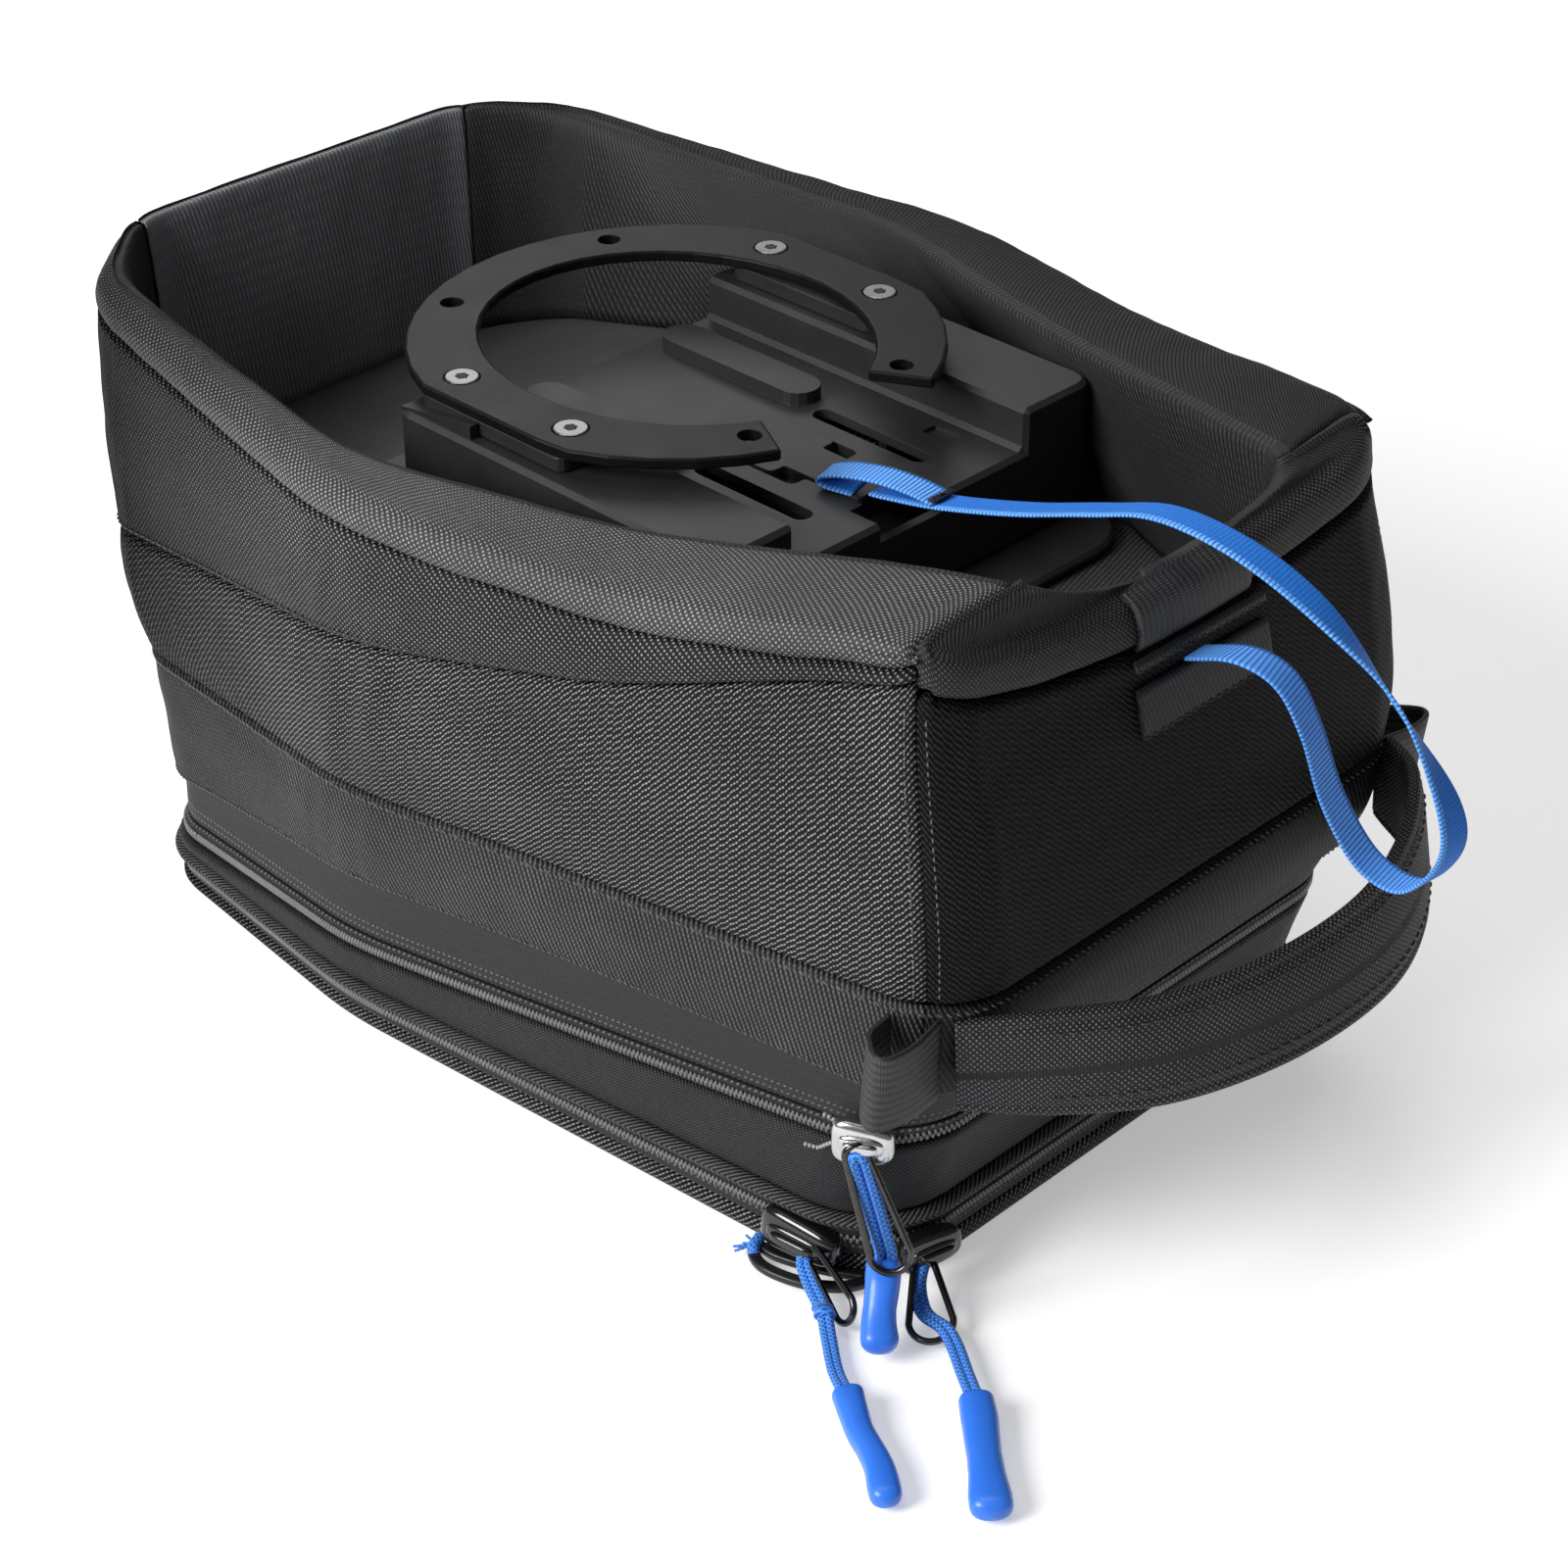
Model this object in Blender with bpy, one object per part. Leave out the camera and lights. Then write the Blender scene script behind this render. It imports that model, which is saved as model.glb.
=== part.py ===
"""Expandable tank bag that rests upside down on its lid, with its ring lock in the tank recess.

Sizes are in millimetres and turned into metres where a mesh is made. X runs from the narrow
front end to the handle end, Y across the bag and Z up from the floor that the lid lies on.
The origin is the middle of the lid's underside.
"""

import math
from functools import lru_cache

import bmesh
import bpy
from mathutils import Matrix, Vector

MM = 0.001
GAP = 0.3

# Plan corners of one side of the bag, from front to handle end: x, half width, corner radius.
LID_PLAN = [(-158.0, 60.0, 20.0), (-146.0, 103.0, 24.0), (-45.0, 113.0, 150.0), (157.0, 94.0, 30.0)]
RIM_PLAN = [(-187.0, 66.0, 12.0), (-160.0, 99.0, 20.0), (-12.0, 128.0, 140.0), (181.0, 97.0, 18.0)]
RIM_HEIGHT = 197.0
FRONT_LEAN = (50.0, 125.0)
REAR_LEAN = (20.0, 105.0)
CORNER_STEPS = 4
LONGEST_SPAN = 45.0

# The tank recess, at its brim and at its floor.
BRIM_PLAN = [(-180.0, 63.6, 8.0), (-158.0, 86.0, 16.0), (-28.0, 103.0, 90.0), (160.0, 52.0, 10.0)]
RECESS_PLAN = [BRIM_PLAN[0], (-155.0, 82.0, 16.0), (88.0, 82.0, 20.0), BRIM_PLAN[3]]
FLOOR_TOP = 144.5
FLOOR_WALL = 3.0
FLOOR_MARGIN = 1.8
FLOOR_BREAK = -98.0
FLOOR_FRONT_DROP = 22.0

# Height lines round the bag: at the front end, at the handle end, and the bow between them.
LID_LINE = (5.0, 8.0, 0.0)
LID_ZIP_LINE = (8.0, 14.0, 0.0)
RIDGE_FOOT = (10.5, 18.5, 0.0)
RIDGE_TOP = (13.5, 23.0, 0.0)
EXPANSION_LINE = (18.5, 55.0, -2.0)
HEM_LINE = (34.0, 74.0, 7.5)
LOWER_SEAM = (79.0, 107.0, 3.0)
UPPER_SEAM = (112.0, 192.0, 0.0)
CREST_LINE = (202.0, 200.0, -7.0)
REAR_SEAM = 184.0
REAR_DIP = 7.0
CREASE_DROP = 10.0

# Walls: thickness of each, and how far inside the outline its outer face lies.
LID_WALL = 4.0
TAPE_WALL = 2.4
TAPE_HALF = 3.0
LID_ZIP_INSET = 1.0
EXPANSION_ZIP_INSET = 2.6
RIDGE_PROUD = 2.6
BAND_WALL = 3.2
PANEL_WALL = 5.0
LOWER_BAND_WALL = 3.0
LOWER_BAND_FLARE = 1.5
SKIRT_WALL = 2.6
SKIRT_LAP = 10.0
GUSSET_INSET = 11.0
GUSSET_WALL = 1.6
GUSSET_RISE = (8.0, 46.0)
EXPANSION_ANGLE = 8.5

# Quick lock: plates, housing, latch.
PLATE_X = (-90.0, 96.0)
PLATE_HALF = 78.0
PLATE_RADIUS = 20.0
PLATE_THICK = 3.6
BACKING_THICK = 2.3
BACKING_MARGIN = 6.0
HOUSING_X = (-50.0, 77.5)
HOUSING_HALF = 75.5
HOUSING_WALL = 3.0
HOUSING_RADIUS = 6.0
CHANNEL_HALF = 46.0
CHANNEL_TOP = 176.5
RAIL_TOP = 189.5
LIP_X = (-49.0, -19.0)
LIP_WIDTH = 3.0
LIP_RISE = 4.2
PAD_X = (-46.0, 14.0)
PAD_Y = 27.0
PAD_HALF = 6.5
PAD_RISE = 4.0
SLOT_X = (18.0, 61.0)
SLOT_Y = 23.5
SLOT_HALF = 3.3
CATCH_X = (48.0, 58.0)
CATCH_Y = (35.5, 41.0)
CATCH_DEPTH = 1.2
NOTCH_X = 66.0
NOTCH_HALF = 13.0
BASE_SCREW_X = (-40.0, 66.0)
BASE_SCREW_Y = 66.0
BOSS_RADIUS = 4.2
BASE_SCREW_SHANK = 1.4
BASE_SCREW_HEAD = 3.8
BASE_SCREW_REACH = 16.0

TONGUE_X = (7.0, 36.0)
TONGUE_HALF = 13.0
TONGUE_RISE = 0.8
BAR_END = 64.0
BAR_HALF = 7.5
LATCH_TRAVEL = 8.0
LATCH_PLATE_HALF = 17.5
LATCH_PLATE_THICK = 4.0
CROSSBAR_X = (6.0, 14.0)
CROSSBAR_DROP = 10.0
CROSSBAR_HALF = 62.0
NOSE_HEIGHT = 4.6
NOSE_CLEARANCE = 0.35
SPRING_Y = 36.0
SPRING_RADIUS = 3.2
SPRING_WIRE = 0.55
SPRING_TURNS = 8
SPRING_LENGTH = 22.0
SPRING_POINTS = 8

# Ring, with the guide blocks below it.
RING_CENTRE = -14.5
RING_OUTER = (77.5, 76.5)
RING_INNER = (59.5, 53.5)
RING_FLAT = 71.5
RING_THICK = 3.5
RING_TOP = 198.0
RING_MOUTH = 23.0
RING_STEPS = 36
RING_SCREWS = (-22.5, 22.0)
RING_SCREW_Y = 60.8
RING_HOLES = ((-61.2, 31.0), (59.3, 30.0))
HOLE_RADIUS = 3.4
SCREW_HEAD = 4.9
SCREW_SHANK = 2.3
SCREW_SINK = 2.6
BLOCK_X = (-18.0, 14.0)
BLOCK_FRONT = -44.0
BLOCK_Y = (50.5, 70.5)
LEG_X = (-7.0, 3.0)
LEG_Y = (56.0, 61.0)
LEG_FOOT = 159.0
LEG_NOTCH = 4.0

# Straps, zip pulls and trim.
HANDLE_HEIGHT = 30.0
HANDLE_THICK = 6.0
HANDLE_END_HEIGHT = 12.0
HANDLE_ROUTE = [(193.0, -72.0, 90.5), (209.0, -41.0, 89.0), (216.5, 2.0, 88.5), (211.0, 40.0, 90.0),
                (196.0, 70.0, 93.5)]
HANDLE_PIVOT_Z = 90.5
HANDLE_LEAN = 0.36
HANDLE_POINTS = 17
LOOP_TAPE = 25.0
LOOP_THICK = 1.6
LOOP_Z = 88.5
LOOP_REACH = 21.0
RIBBON_WIDTH = 10.0
RIBBON_THICK = 1.0
SLOT_HALF_WIDTH = 24.0
SLOT_Z = (171.0, 177.5)
SLOT_PATCH_HALF = 26.0
SLOT_PATCH_Z = (157.0, 183.4)
SLOT_PATCH_THICK = 1.0
EDGE_PATCH_HALF = 22.0
EDGE_PATCH_THICK = 1.6
SLIDER_LENGTH = 14.0
SLIDER_HEIGHT = 7.6
SLIDER_DEPTH = 4.4
SLIDER_FLAT = 0.6
WIRE_RADIUS = 0.9
WIRE_PINCH = 2.9
WIRE_WIDTH = 4.6
CORD_RADIUS = 1.5
CORD_SPREAD = 1.8

# Ribbon from the latch, over the handle end of the rim and back into the slot.
RIBBON_ROUTE = [(64.6, 0.5, 177.6), (72.0, 1.0, 178.6), (90.0, 2.0, 182.0), (116.0, 2.0, 190.0),
                (140.0, 2.0, 199.0), (161.0, 2.0, 206.0), (183.0, 3.0, 205.0), (203.0, 6.0, 197.0),
                (221.0, 9.0, 184.0), (235.0, 12.0, 168.0), (246.5, 14.0, 150.0), (247.5, 15.0, 136.0),
                (238.5, 14.0, 123.5), (226.0, 12.0, 126.0), (216.0, 8.0, 142.0), (210.0, 4.0, 162.0),
                (203.0, 1.0, 175.0), (192.0, -2.0, 179.0), (177.4, -3.0, 174.2)]
RIBBON_POINTS = 43


# ---------- materials ----------

def material(name, colour, roughness, metallic=0.0):
    made = bpy.data.materials.new(name)
    made.use_nodes = True
    shader = made.node_tree.nodes["Principled BSDF"]
    shader.inputs["Base Color"].default_value = (*colour, 1.0)
    shader.inputs["Roughness"].default_value = roughness
    shader.inputs["Metallic"].default_value = metallic
    return made


# ---------- plan outlines ----------

def mix(low, high, share):
    return low + (high - low) * share


def smooth_step(value, start, end):
    share = min(max((value - start) / (end - start), 0.0), 1.0)
    return share * share * (3.0 - 2.0 * share)


def both_sides(near_side):
    """Corners anticlockwise from the near front, from one side's corners."""
    near = [(x, -half, radius) for x, half, radius in near_side]
    far = [(x, half, radius) for x, half, radius in reversed(near_side)]
    return near + far


def plan_corners(height):
    """The plan's corners at a height. Sides widen evenly, and both ends lean out over their own heights."""
    even = min(max(height / RIM_HEIGHT, 0.0), 1.0)
    front = smooth_step(height, *FRONT_LEAN)
    rear = smooth_step(height, *REAR_LEAN)
    corners = []
    for lid, rim, lean in zip(LID_PLAN, RIM_PLAN, (front, front, even, rear)):
        corners.append((mix(lid[0], rim[0], lean), mix(lid[1], rim[1], even), mix(lid[2], rim[2], even)))
    return both_sides(corners)


def inset_corners(corners, inset):
    """Moves every side inwards by the inset and takes it off each corner radius."""
    sides = []
    for here, corner in enumerate(corners):
        a = Vector(corner[:2])
        b = Vector(corners[(here + 1) % len(corners)][:2])
        along = (b - a).normalized()
        sides.append((a + Vector((-along.y, along.x)) * inset, along))
    moved = []
    for here, corner in enumerate(corners):
        a, u = sides[here - 1]
        b, v = sides[here]
        step = ((b - a).x * v.y - (b - a).y * v.x) / (u.x * v.y - u.y * v.x)
        point = a + u * step
        moved.append((point.x, point.y, max(corner[2] - inset, 1.0)))
    return moved


def round_corners(corners, steps=CORNER_STEPS):
    """Swaps each corner for an arc of its radius."""
    points = []
    for here, (x, y, radius) in enumerate(corners):
        corner = Vector((x, y))
        before = (Vector(corners[here - 1][:2]) - corner).normalized()
        after = (Vector(corners[(here + 1) % len(corners)][:2]) - corner).normalized()
        half = before.angle(after) / 2
        centre = corner + (before + after).normalized() * radius / math.sin(half)
        start = corner + before * radius / math.tan(half) - centre
        sweep = math.copysign(math.pi - 2 * half, after.x * before.y - after.y * before.x)
        for step in range(steps + 1):
            turn = Matrix.Rotation(sweep * step / steps, 2)
            point = centre + turn @ start
            points.append((point.x, point.y))
    return points


@lru_cache(maxsize=None)
def wall_outline(height, inset):
    return tuple(round_corners(inset_corners(plan_corners(height), inset)))


BRIM = round_corners(both_sides(BRIM_PLAN))
RECESS = round_corners(both_sides(RECESS_PLAN))
CORNER_POINTS = CORNER_STEPS + 1
STATIONS = 8 * CORNER_POINTS
FRONT_NEAR = CORNER_STEPS / 2
REAR_NEAR = 3 * CORNER_POINTS + CORNER_STEPS / 2
REAR_FAR = 4 * CORNER_POINTS + CORNER_STEPS / 2
FRONT_FAR = 7 * CORNER_POINTS + CORNER_STEPS / 2
RUNS = {"near": (FRONT_NEAR, REAR_NEAR), "rear": (REAR_NEAR, REAR_FAR),
        "far": (REAR_FAR, FRONT_FAR), "front": (FRONT_FAR, STATIONS + FRONT_NEAR)}


def on_outline(ring, station):
    """A point on an outline. Whole stations are its points in order, so all outlines share them."""
    low = math.floor(station)
    a = Vector(ring[low % len(ring)])
    b = Vector(ring[(low + 1) % len(ring)])
    return a.lerp(b, station - low)


def on_wall(station, height, inset=0.0):
    spot = on_outline(wall_outline(round(height, 4), round(inset, 4)), station)
    return Vector((spot.x, spot.y, height))


def stations_between(first, last):
    """Stations of a run: its ends, each outline point between, and more along the long straights."""
    stops = [first, *(float(s) for s in range(math.ceil(first), math.floor(last) + 1)), last]
    stops = sorted(set(stops))
    stations = [stops[0]]
    for a, b in zip(stops, stops[1:]):
        span = (on_wall(a, RIM_HEIGHT) - on_wall(b, RIM_HEIGHT)).length
        pieces = max(1, math.ceil(span / LONGEST_SPAN))
        stations += [mix(a, b, piece / pieces) for piece in range(1, pieces + 1)]
    return stations


def share_along(station):
    """How far a station lies from the front end, 0, to the handle end, 1."""
    x = on_wall(station, RIM_HEIGHT / 2).x
    return min(max((x - RIM_PLAN[0][0]) / (RIM_PLAN[3][0] - RIM_PLAN[0][0]), 0.0), 1.0)


def line_height(line, station):
    share = share_along(station)
    return mix(line[0], line[1], share) + line[2] * 4.0 * share * (1.0 - share)


def line(values, lift=0.0):
    return lambda station: line_height(values, station) + lift


def near_station(x):
    """Station on the straight stretch of the near side, from its place between the two last corners."""
    first = float(3 * CORNER_POINTS - 1)
    a = on_wall(first, 15.0).x
    b = on_wall(first + 1.0, 15.0).x
    return first + (x - a) / (b - a)


def crest_height(station):
    """Height of the rim: a long dip along the sides, and one across the handle end."""
    height = line_height(CREST_LINE, station)
    if REAR_NEAR < station < REAR_FAR:
        across = on_wall(station, RIM_HEIGHT).y / RIM_PLAN[3][1]
        height -= REAR_DIP * (1.0 - across * across)
    return height


def recess_floor(x):
    beyond = max(FLOOR_BREAK - x, 0.0) / (FLOOR_BREAK - RIM_PLAN[0][0])
    return FLOOR_TOP - FLOOR_FRONT_DROP * beyond


# ---------- solids ----------

def add_object(name, points, faces, finish):
    mesh = bpy.data.meshes.new(name)
    mesh.from_pydata([Vector(point) * MM for point in points], [], faces)
    shell = bmesh.new()
    shell.from_mesh(mesh)
    bmesh.ops.recalc_face_normals(shell, faces=shell.faces)
    if shell.calc_volume(signed=True) < 0.0:
        bmesh.ops.reverse_faces(shell, faces=shell.faces)
    shell.to_mesh(mesh)
    shell.free()
    mesh.shade_smooth()
    mesh.set_sharp_from_angle(angle=math.radians(35))
    placed = bpy.data.objects.new(name, mesh)
    bpy.context.scene.collection.objects.link(placed)
    if finish:
        mesh.materials.append(finish)
    return placed


def loft(name, sections, finish=None, closed=False):
    """Joins closed sections of equal count one after another, with end faces unless the run closes."""
    count = len(sections[0])
    points = [point for section in sections for point in section]
    end = (len(sections) - 1) * count
    faces = [] if closed else [tuple(range(count)), tuple(end + here for here in range(count))]
    for row in range(len(sections) if closed else len(sections) - 1):
        a = row * count
        b = ((row + 1) % len(sections)) * count
        for here in range(count):
            there = (here + 1) % count
            faces.append((a + here, a + there, b + there, b + here))
    return add_object(name, points, faces, finish)


def prism(name, plan, low, high, finish=None):
    """A flat outline raised from low to high."""
    return loft(name, [[(x, y, low) for x, y in plan], [(x, y, high) for x, y in plan]], finish)


def box(name, x_range, y_range, z_range, finish=None):
    (x0, x1), (y0, y1) = x_range, y_range
    return prism(name, [(x0, y0), (x1, y0), (x1, y1), (x0, y1)], *z_range, finish)


def rounded_plan(x_range, y_range, radius, steps=CORNER_STEPS):
    (x0, x1), (y0, y1) = x_range, y_range
    return round_corners([(x0, y0, radius), (x1, y0, radius), (x1, y1, radius), (x0, y1, radius)], steps)


def turned(name, profile, centre, finish=None, sides=16):
    """A profile of (radius, height) pairs turned about an upright axis."""
    sections = []
    for radius, height in profile:
        angles = [math.tau * side / sides for side in range(sides)]
        sections.append([(centre[0] + radius * math.cos(a), centre[1] + radius * math.sin(a), height)
                         for a in angles])
    return loft(name, sections, finish)


def bevel(part, width, segments=1, angle=40.0):
    edge = part.modifiers.new("edge", "BEVEL")
    edge.width = width * MM
    edge.segments = segments
    edge.limit_method = "ANGLE"
    edge.angle_limit = math.radians(angle)


def shape_with(part, tool, operation):
    """Cuts or adds a helper solid, which stays as a wire guide and isn't part of the bag."""
    step = part.modifiers.new(tool.name, "BOOLEAN")
    step.operation = operation
    step.object = tool
    step.solver = "EXACT"
    tool.hide_render = True
    tool.display_type = "WIRE"


def cut(part, tool):
    shape_with(part, tool, "DIFFERENCE")


def add(part, tool):
    shape_with(part, tool, "UNION")


def corner_plane(station, to_rim):
    """A point and the normal of the plane where two runs meet: upright through the brim's corner where
    they reach the rim, and along the wall's own corner where they don't."""
    if to_rim:
        foot = on_wall(station, RIM_HEIGHT)
        across = on_outline(BRIM, station).to_3d() - Vector((foot.x, foot.y, 0.0))
        rise = Vector((0.0, 0.0, 1.0))
    else:
        foot = on_wall(station, line_height(HEM_LINE, station))
        across = on_wall(station, foot.z, PANEL_WALL) - foot
        rise = on_wall(station, line_height(LOWER_SEAM, station)) - foot
    return foot, across.cross(rise).normalized()


def run_sections(run, section_at, to_rim=True):
    """Sections of a run, whose end sections lie half a gap inside the plane at each corner."""
    stations = stations_between(*RUNS[run])
    sections = [section_at(station) for station in stations]
    for end, step in ((0, 0.25), (-1, -0.25)):
        station = stations[end]
        inward = (on_wall(station + step, RIM_HEIGHT) - on_wall(station, RIM_HEIGHT)).normalized()
        spot, facing = corner_plane(station, to_rim)
        facing *= math.copysign(1.0, facing.dot(inward))
        sections[end] = [point + inward * (GAP / 2 - (point - spot).dot(facing)) / inward.dot(facing)
                         for point in sections[end]]
    return sections


def wall_run(name, run, low, high, wall, finish, levels=4, flare=0.0):
    """One sewn panel: a stretch of the bag's wall between two height lines. A band's lower edge is
    flared out, and it doesn't reach the rim."""
    def section_at(station):
        outer = []
        inner = []
        for level in range(levels + 1):
            share = level / levels
            height = mix(low(station), high(station), share)
            outer.append(on_wall(station, height, -flare * (1.0 - share) ** 2))
            inner.append(on_wall(station, height, wall))
        return outer + inner[::-1]
    return loft(name, run_sections(run, section_at, to_rim=flare == 0.0), finish)


def wall_ring(name, low, high, inset, wall, finish):
    """A band of the wall all the way round."""
    sections = []
    for station in stations_between(0.0, float(STATIONS))[:-1]:
        corners = ((low, inset), (high, inset), (high, inset + wall), (low, inset + wall))
        sections.append([on_wall(station, height(station), depth) for height, depth in corners])
    return loft(name, sections, finish, closed=True)


def smooth_path(points, count):
    """Points at even steps of a smooth curve through the given points."""
    points = [Vector(point) for point in points]
    ends = [points[0] * 2 - points[1], *points, points[-1] * 2 - points[-2]]
    spans = len(points) - 1
    path = []
    for step in range(count):
        place = spans * step / (count - 1)
        span = min(int(place), spans - 1)
        t = place - span
        a, b, c, d = ends[span:span + 4]
        path.append(0.5 * (2 * b + (c - a) * t + (2 * a - 5 * b + 4 * c - d) * t * t
                           + (3 * b - a - 3 * c + d) * t * t * t))
    return path


def tube(name, points, radius, finish, resolution=1):
    """A round wire or cord with filled ends."""
    curve = bpy.data.curves.new(name, "CURVE")
    curve.dimensions = "3D"
    curve.resolution_u = 1
    curve.render_resolution_u = 0
    curve.bevel_depth = radius * MM
    curve.bevel_resolution = resolution
    curve.use_fill_caps = True
    spline = curve.splines.new("POLY")
    spline.points.add(len(points) - 1)
    for knot, point in zip(spline.points, points):
        knot.co = (*(Vector(point) * MM), 1.0)
    curve.materials.append(finish)
    placed = bpy.data.objects.new(name, curve)
    bpy.context.scene.collection.objects.link(placed)
    return placed


def strip(name, path, across, heights, thick, finish):
    """A flat tape along a path. across and heights give its width's direction and size at each point."""
    sections = []
    for place, point in enumerate(path):
        along = (path[min(place + 1, len(path) - 1)] - path[max(place - 1, 0)]).normalized()
        side = Vector(across[place])
        side = (side - along * side.dot(along)).normalized() * heights[place] / 2
        rise = along.cross(side).normalized() * thick / 2
        sections.append([point - side - rise, point + side - rise, point + side + rise, point - side + rise])
    return loft(name, sections, finish)


def body(name, place):
    """An empty on a body's joint axis, which carries the body's pieces."""
    carrier = bpy.data.objects.new(name, None)
    carrier.location = Vector(place) * MM
    bpy.context.scene.collection.objects.link(carrier)
    return carrier


def carry(carrier, *pieces):
    for piece in pieces:
        piece.parent = carrier
        piece.matrix_parent_inverse = Matrix.Translation(-carrier.location)


for old in list(bpy.data.objects):
    bpy.data.objects.remove(old, do_unlink=True)

coarse_weave = material("coarse_weave", (0.020, 0.020, 0.021), 0.62)
fine_weave = material("fine_weave", (0.030, 0.032, 0.036), 0.60)
lining = material("padded_lining", (0.026, 0.027, 0.029), 0.66)
zip_tape = material("zip_tape", (0.016, 0.016, 0.016), 0.75)
webbing = material("webbing", (0.018, 0.018, 0.018), 0.70)
plastic = material("moulded_plastic", (0.022, 0.022, 0.022), 0.55)
ring_black = material("satin_black_ring", (0.030, 0.028, 0.026), 0.38, 0.6)
steel = material("zinc_steel", (0.62, 0.62, 0.63), 0.30, 1.0)
black_metal = material("black_slider", (0.020, 0.020, 0.021), 0.25, 0.5)
nickel = material("nickel_slider", (0.70, 0.69, 0.67), 0.18, 1.0)
wire_metal = material("gunmetal_wire", (0.16, 0.16, 0.165), 0.22, 1.0)
blue_webbing = material("blue_webbing", (0.015, 0.12, 0.62), 0.50)
blue_cord = material("blue_cord", (0.020, 0.16, 0.72), 0.60)
blue_rubber = material("blue_rubber", (0.020, 0.17, 0.78), 0.42)


# ---------- bodies ----------

def front_edge(height):
    return on_wall(FRONT_FAR + CORNER_POINTS / 2, height, -RIDGE_PROUD).x


LID_HINGE = (front_edge(LID_LINE[0]) - 0.4, 0.0, LID_LINE[0] + GAP / 2)
EXPANSION_HINGE = (front_edge(EXPANSION_LINE[0]) - 0.4, 0.0, EXPANSION_LINE[0])

lid_body = body("lid_body", (0.0, 0.0, 0.0))
band_body = body("zip_band_body", LID_HINGE)
bag_body = body("bag_body", EXPANSION_HINGE)


# ---------- lid ----------

def build_lid():
    foot = [(x, y, 0.0) for x, y in wall_outline(0.0, 1.5)]
    edge = [(x, y, 2.0) for x, y in wall_outline(2.0, 0.0)]
    stations = [float(s) for s in range(STATIONS)]
    top = [on_wall(s, line_height(LID_LINE, s), 0.0) for s in stations]
    top_in = [on_wall(s, line_height(LID_LINE, s), LID_WALL) for s in stations]
    tray = [(x, y, LID_WALL - 0.8) for x, y in wall_outline(LID_WALL, LID_WALL + 2.0)]
    panel = loft("lid_panel", [foot, edge, top, top_in, tray], coarse_weave)
    lower = wall_ring("lid_zip_lower", line(LID_LINE, GAP), line(LID_ZIP_LINE, -GAP / 2), LID_ZIP_INSET,
                      TAPE_WALL, zip_tape)
    carry(lid_body, panel, lower)


def build_pocket_pull():
    """Oval puller of the pocket in the lid's underside, on a short cord from the lid's edge."""
    path = smooth_path([(124.5, -104.5, 3.0), (131.0, -103.0, 3.2), (141.0, -99.0, 3.2), (150.0, -93.5, 3.0)], 9)
    sections = []
    for place, point in enumerate(path):
        along = (path[min(place + 1, 8)] - path[max(place - 1, 0)]).normalized()
        side = Vector((along.y, -along.x, 0.0)).normalized()
        fullness = math.sqrt(max(1.0 - ((place - 4) / 4.6) ** 2, 0.0))
        ring = []
        for turn in range(12):
            angle = math.tau * turn / 12
            ring.append(point + side * 3.6 * fullness * math.cos(angle)
                        + Vector((0.0, 0.0, 2.1 * fullness * math.sin(angle))))
        sections.append(ring)
    oval = loft("pocket_pull", sections, plastic)
    edge = on_wall(near_station(116.0), 3.2)
    start = path[0] - (path[1] - path[0]).normalized() * GAP * 2
    stub = [Vector((edge.x, edge.y - GAP, 3.2)), Vector((edge.x + 0.6, edge.y - 2.4, 3.2)),
            start - (path[1] - path[0]).normalized() * 2.0, start]
    cord = tube("pocket_cord", smooth_path(stub, 9), CORD_RADIUS, blue_cord)
    carry(lid_body, oval, cord)


build_lid()
build_pocket_pull()


# ---------- zip band between the lid's zip and the expansion zip ----------

def expansion_arc(height, clearance):
    """Furthest x that the bag's wall leaves free at a height as it swings up on the expansion hinge."""
    foot = line_height(EXPANSION_LINE, REAR_NEAR)
    wall = on_wall(REAR_NEAR + CORNER_POINTS / 2, foot, BAND_WALL + SKIRT_WALL + GAP)
    reach = math.hypot(wall.x - EXPANSION_HINGE[0], foot - EXPANSION_HINGE[2]) - clearance
    rise = height - EXPANSION_HINGE[2]
    return EXPANSION_HINGE[0] + math.sqrt(reach * reach - rise * rise)


def build_zip_band():
    upper = wall_ring("lid_zip_upper", line(LID_ZIP_LINE, GAP / 2), line(RIDGE_TOP), LID_ZIP_INSET, TAPE_WALL,
                      zip_tape)
    ridge = wall_ring("zip_ridge", line(RIDGE_FOOT), line(RIDGE_TOP), -RIDGE_PROUD,
                      RIDGE_PROUD + LID_ZIP_INSET - GAP, fine_weave)
    band = wall_ring("zip_band", line(RIDGE_TOP, GAP), line(EXPANSION_LINE, -TAPE_HALF - GAP), 0.0, BAND_WALL,
                     fine_weave)
    lower = wall_ring("expansion_zip_lower", line(EXPANSION_LINE, -TAPE_HALF), line(EXPANSION_LINE, -GAP / 2),
                      EXPANSION_ZIP_INSET, TAPE_WALL, zip_tape)
    carry(band_body, upper, ridge, band, lower, build_gusset())


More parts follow.
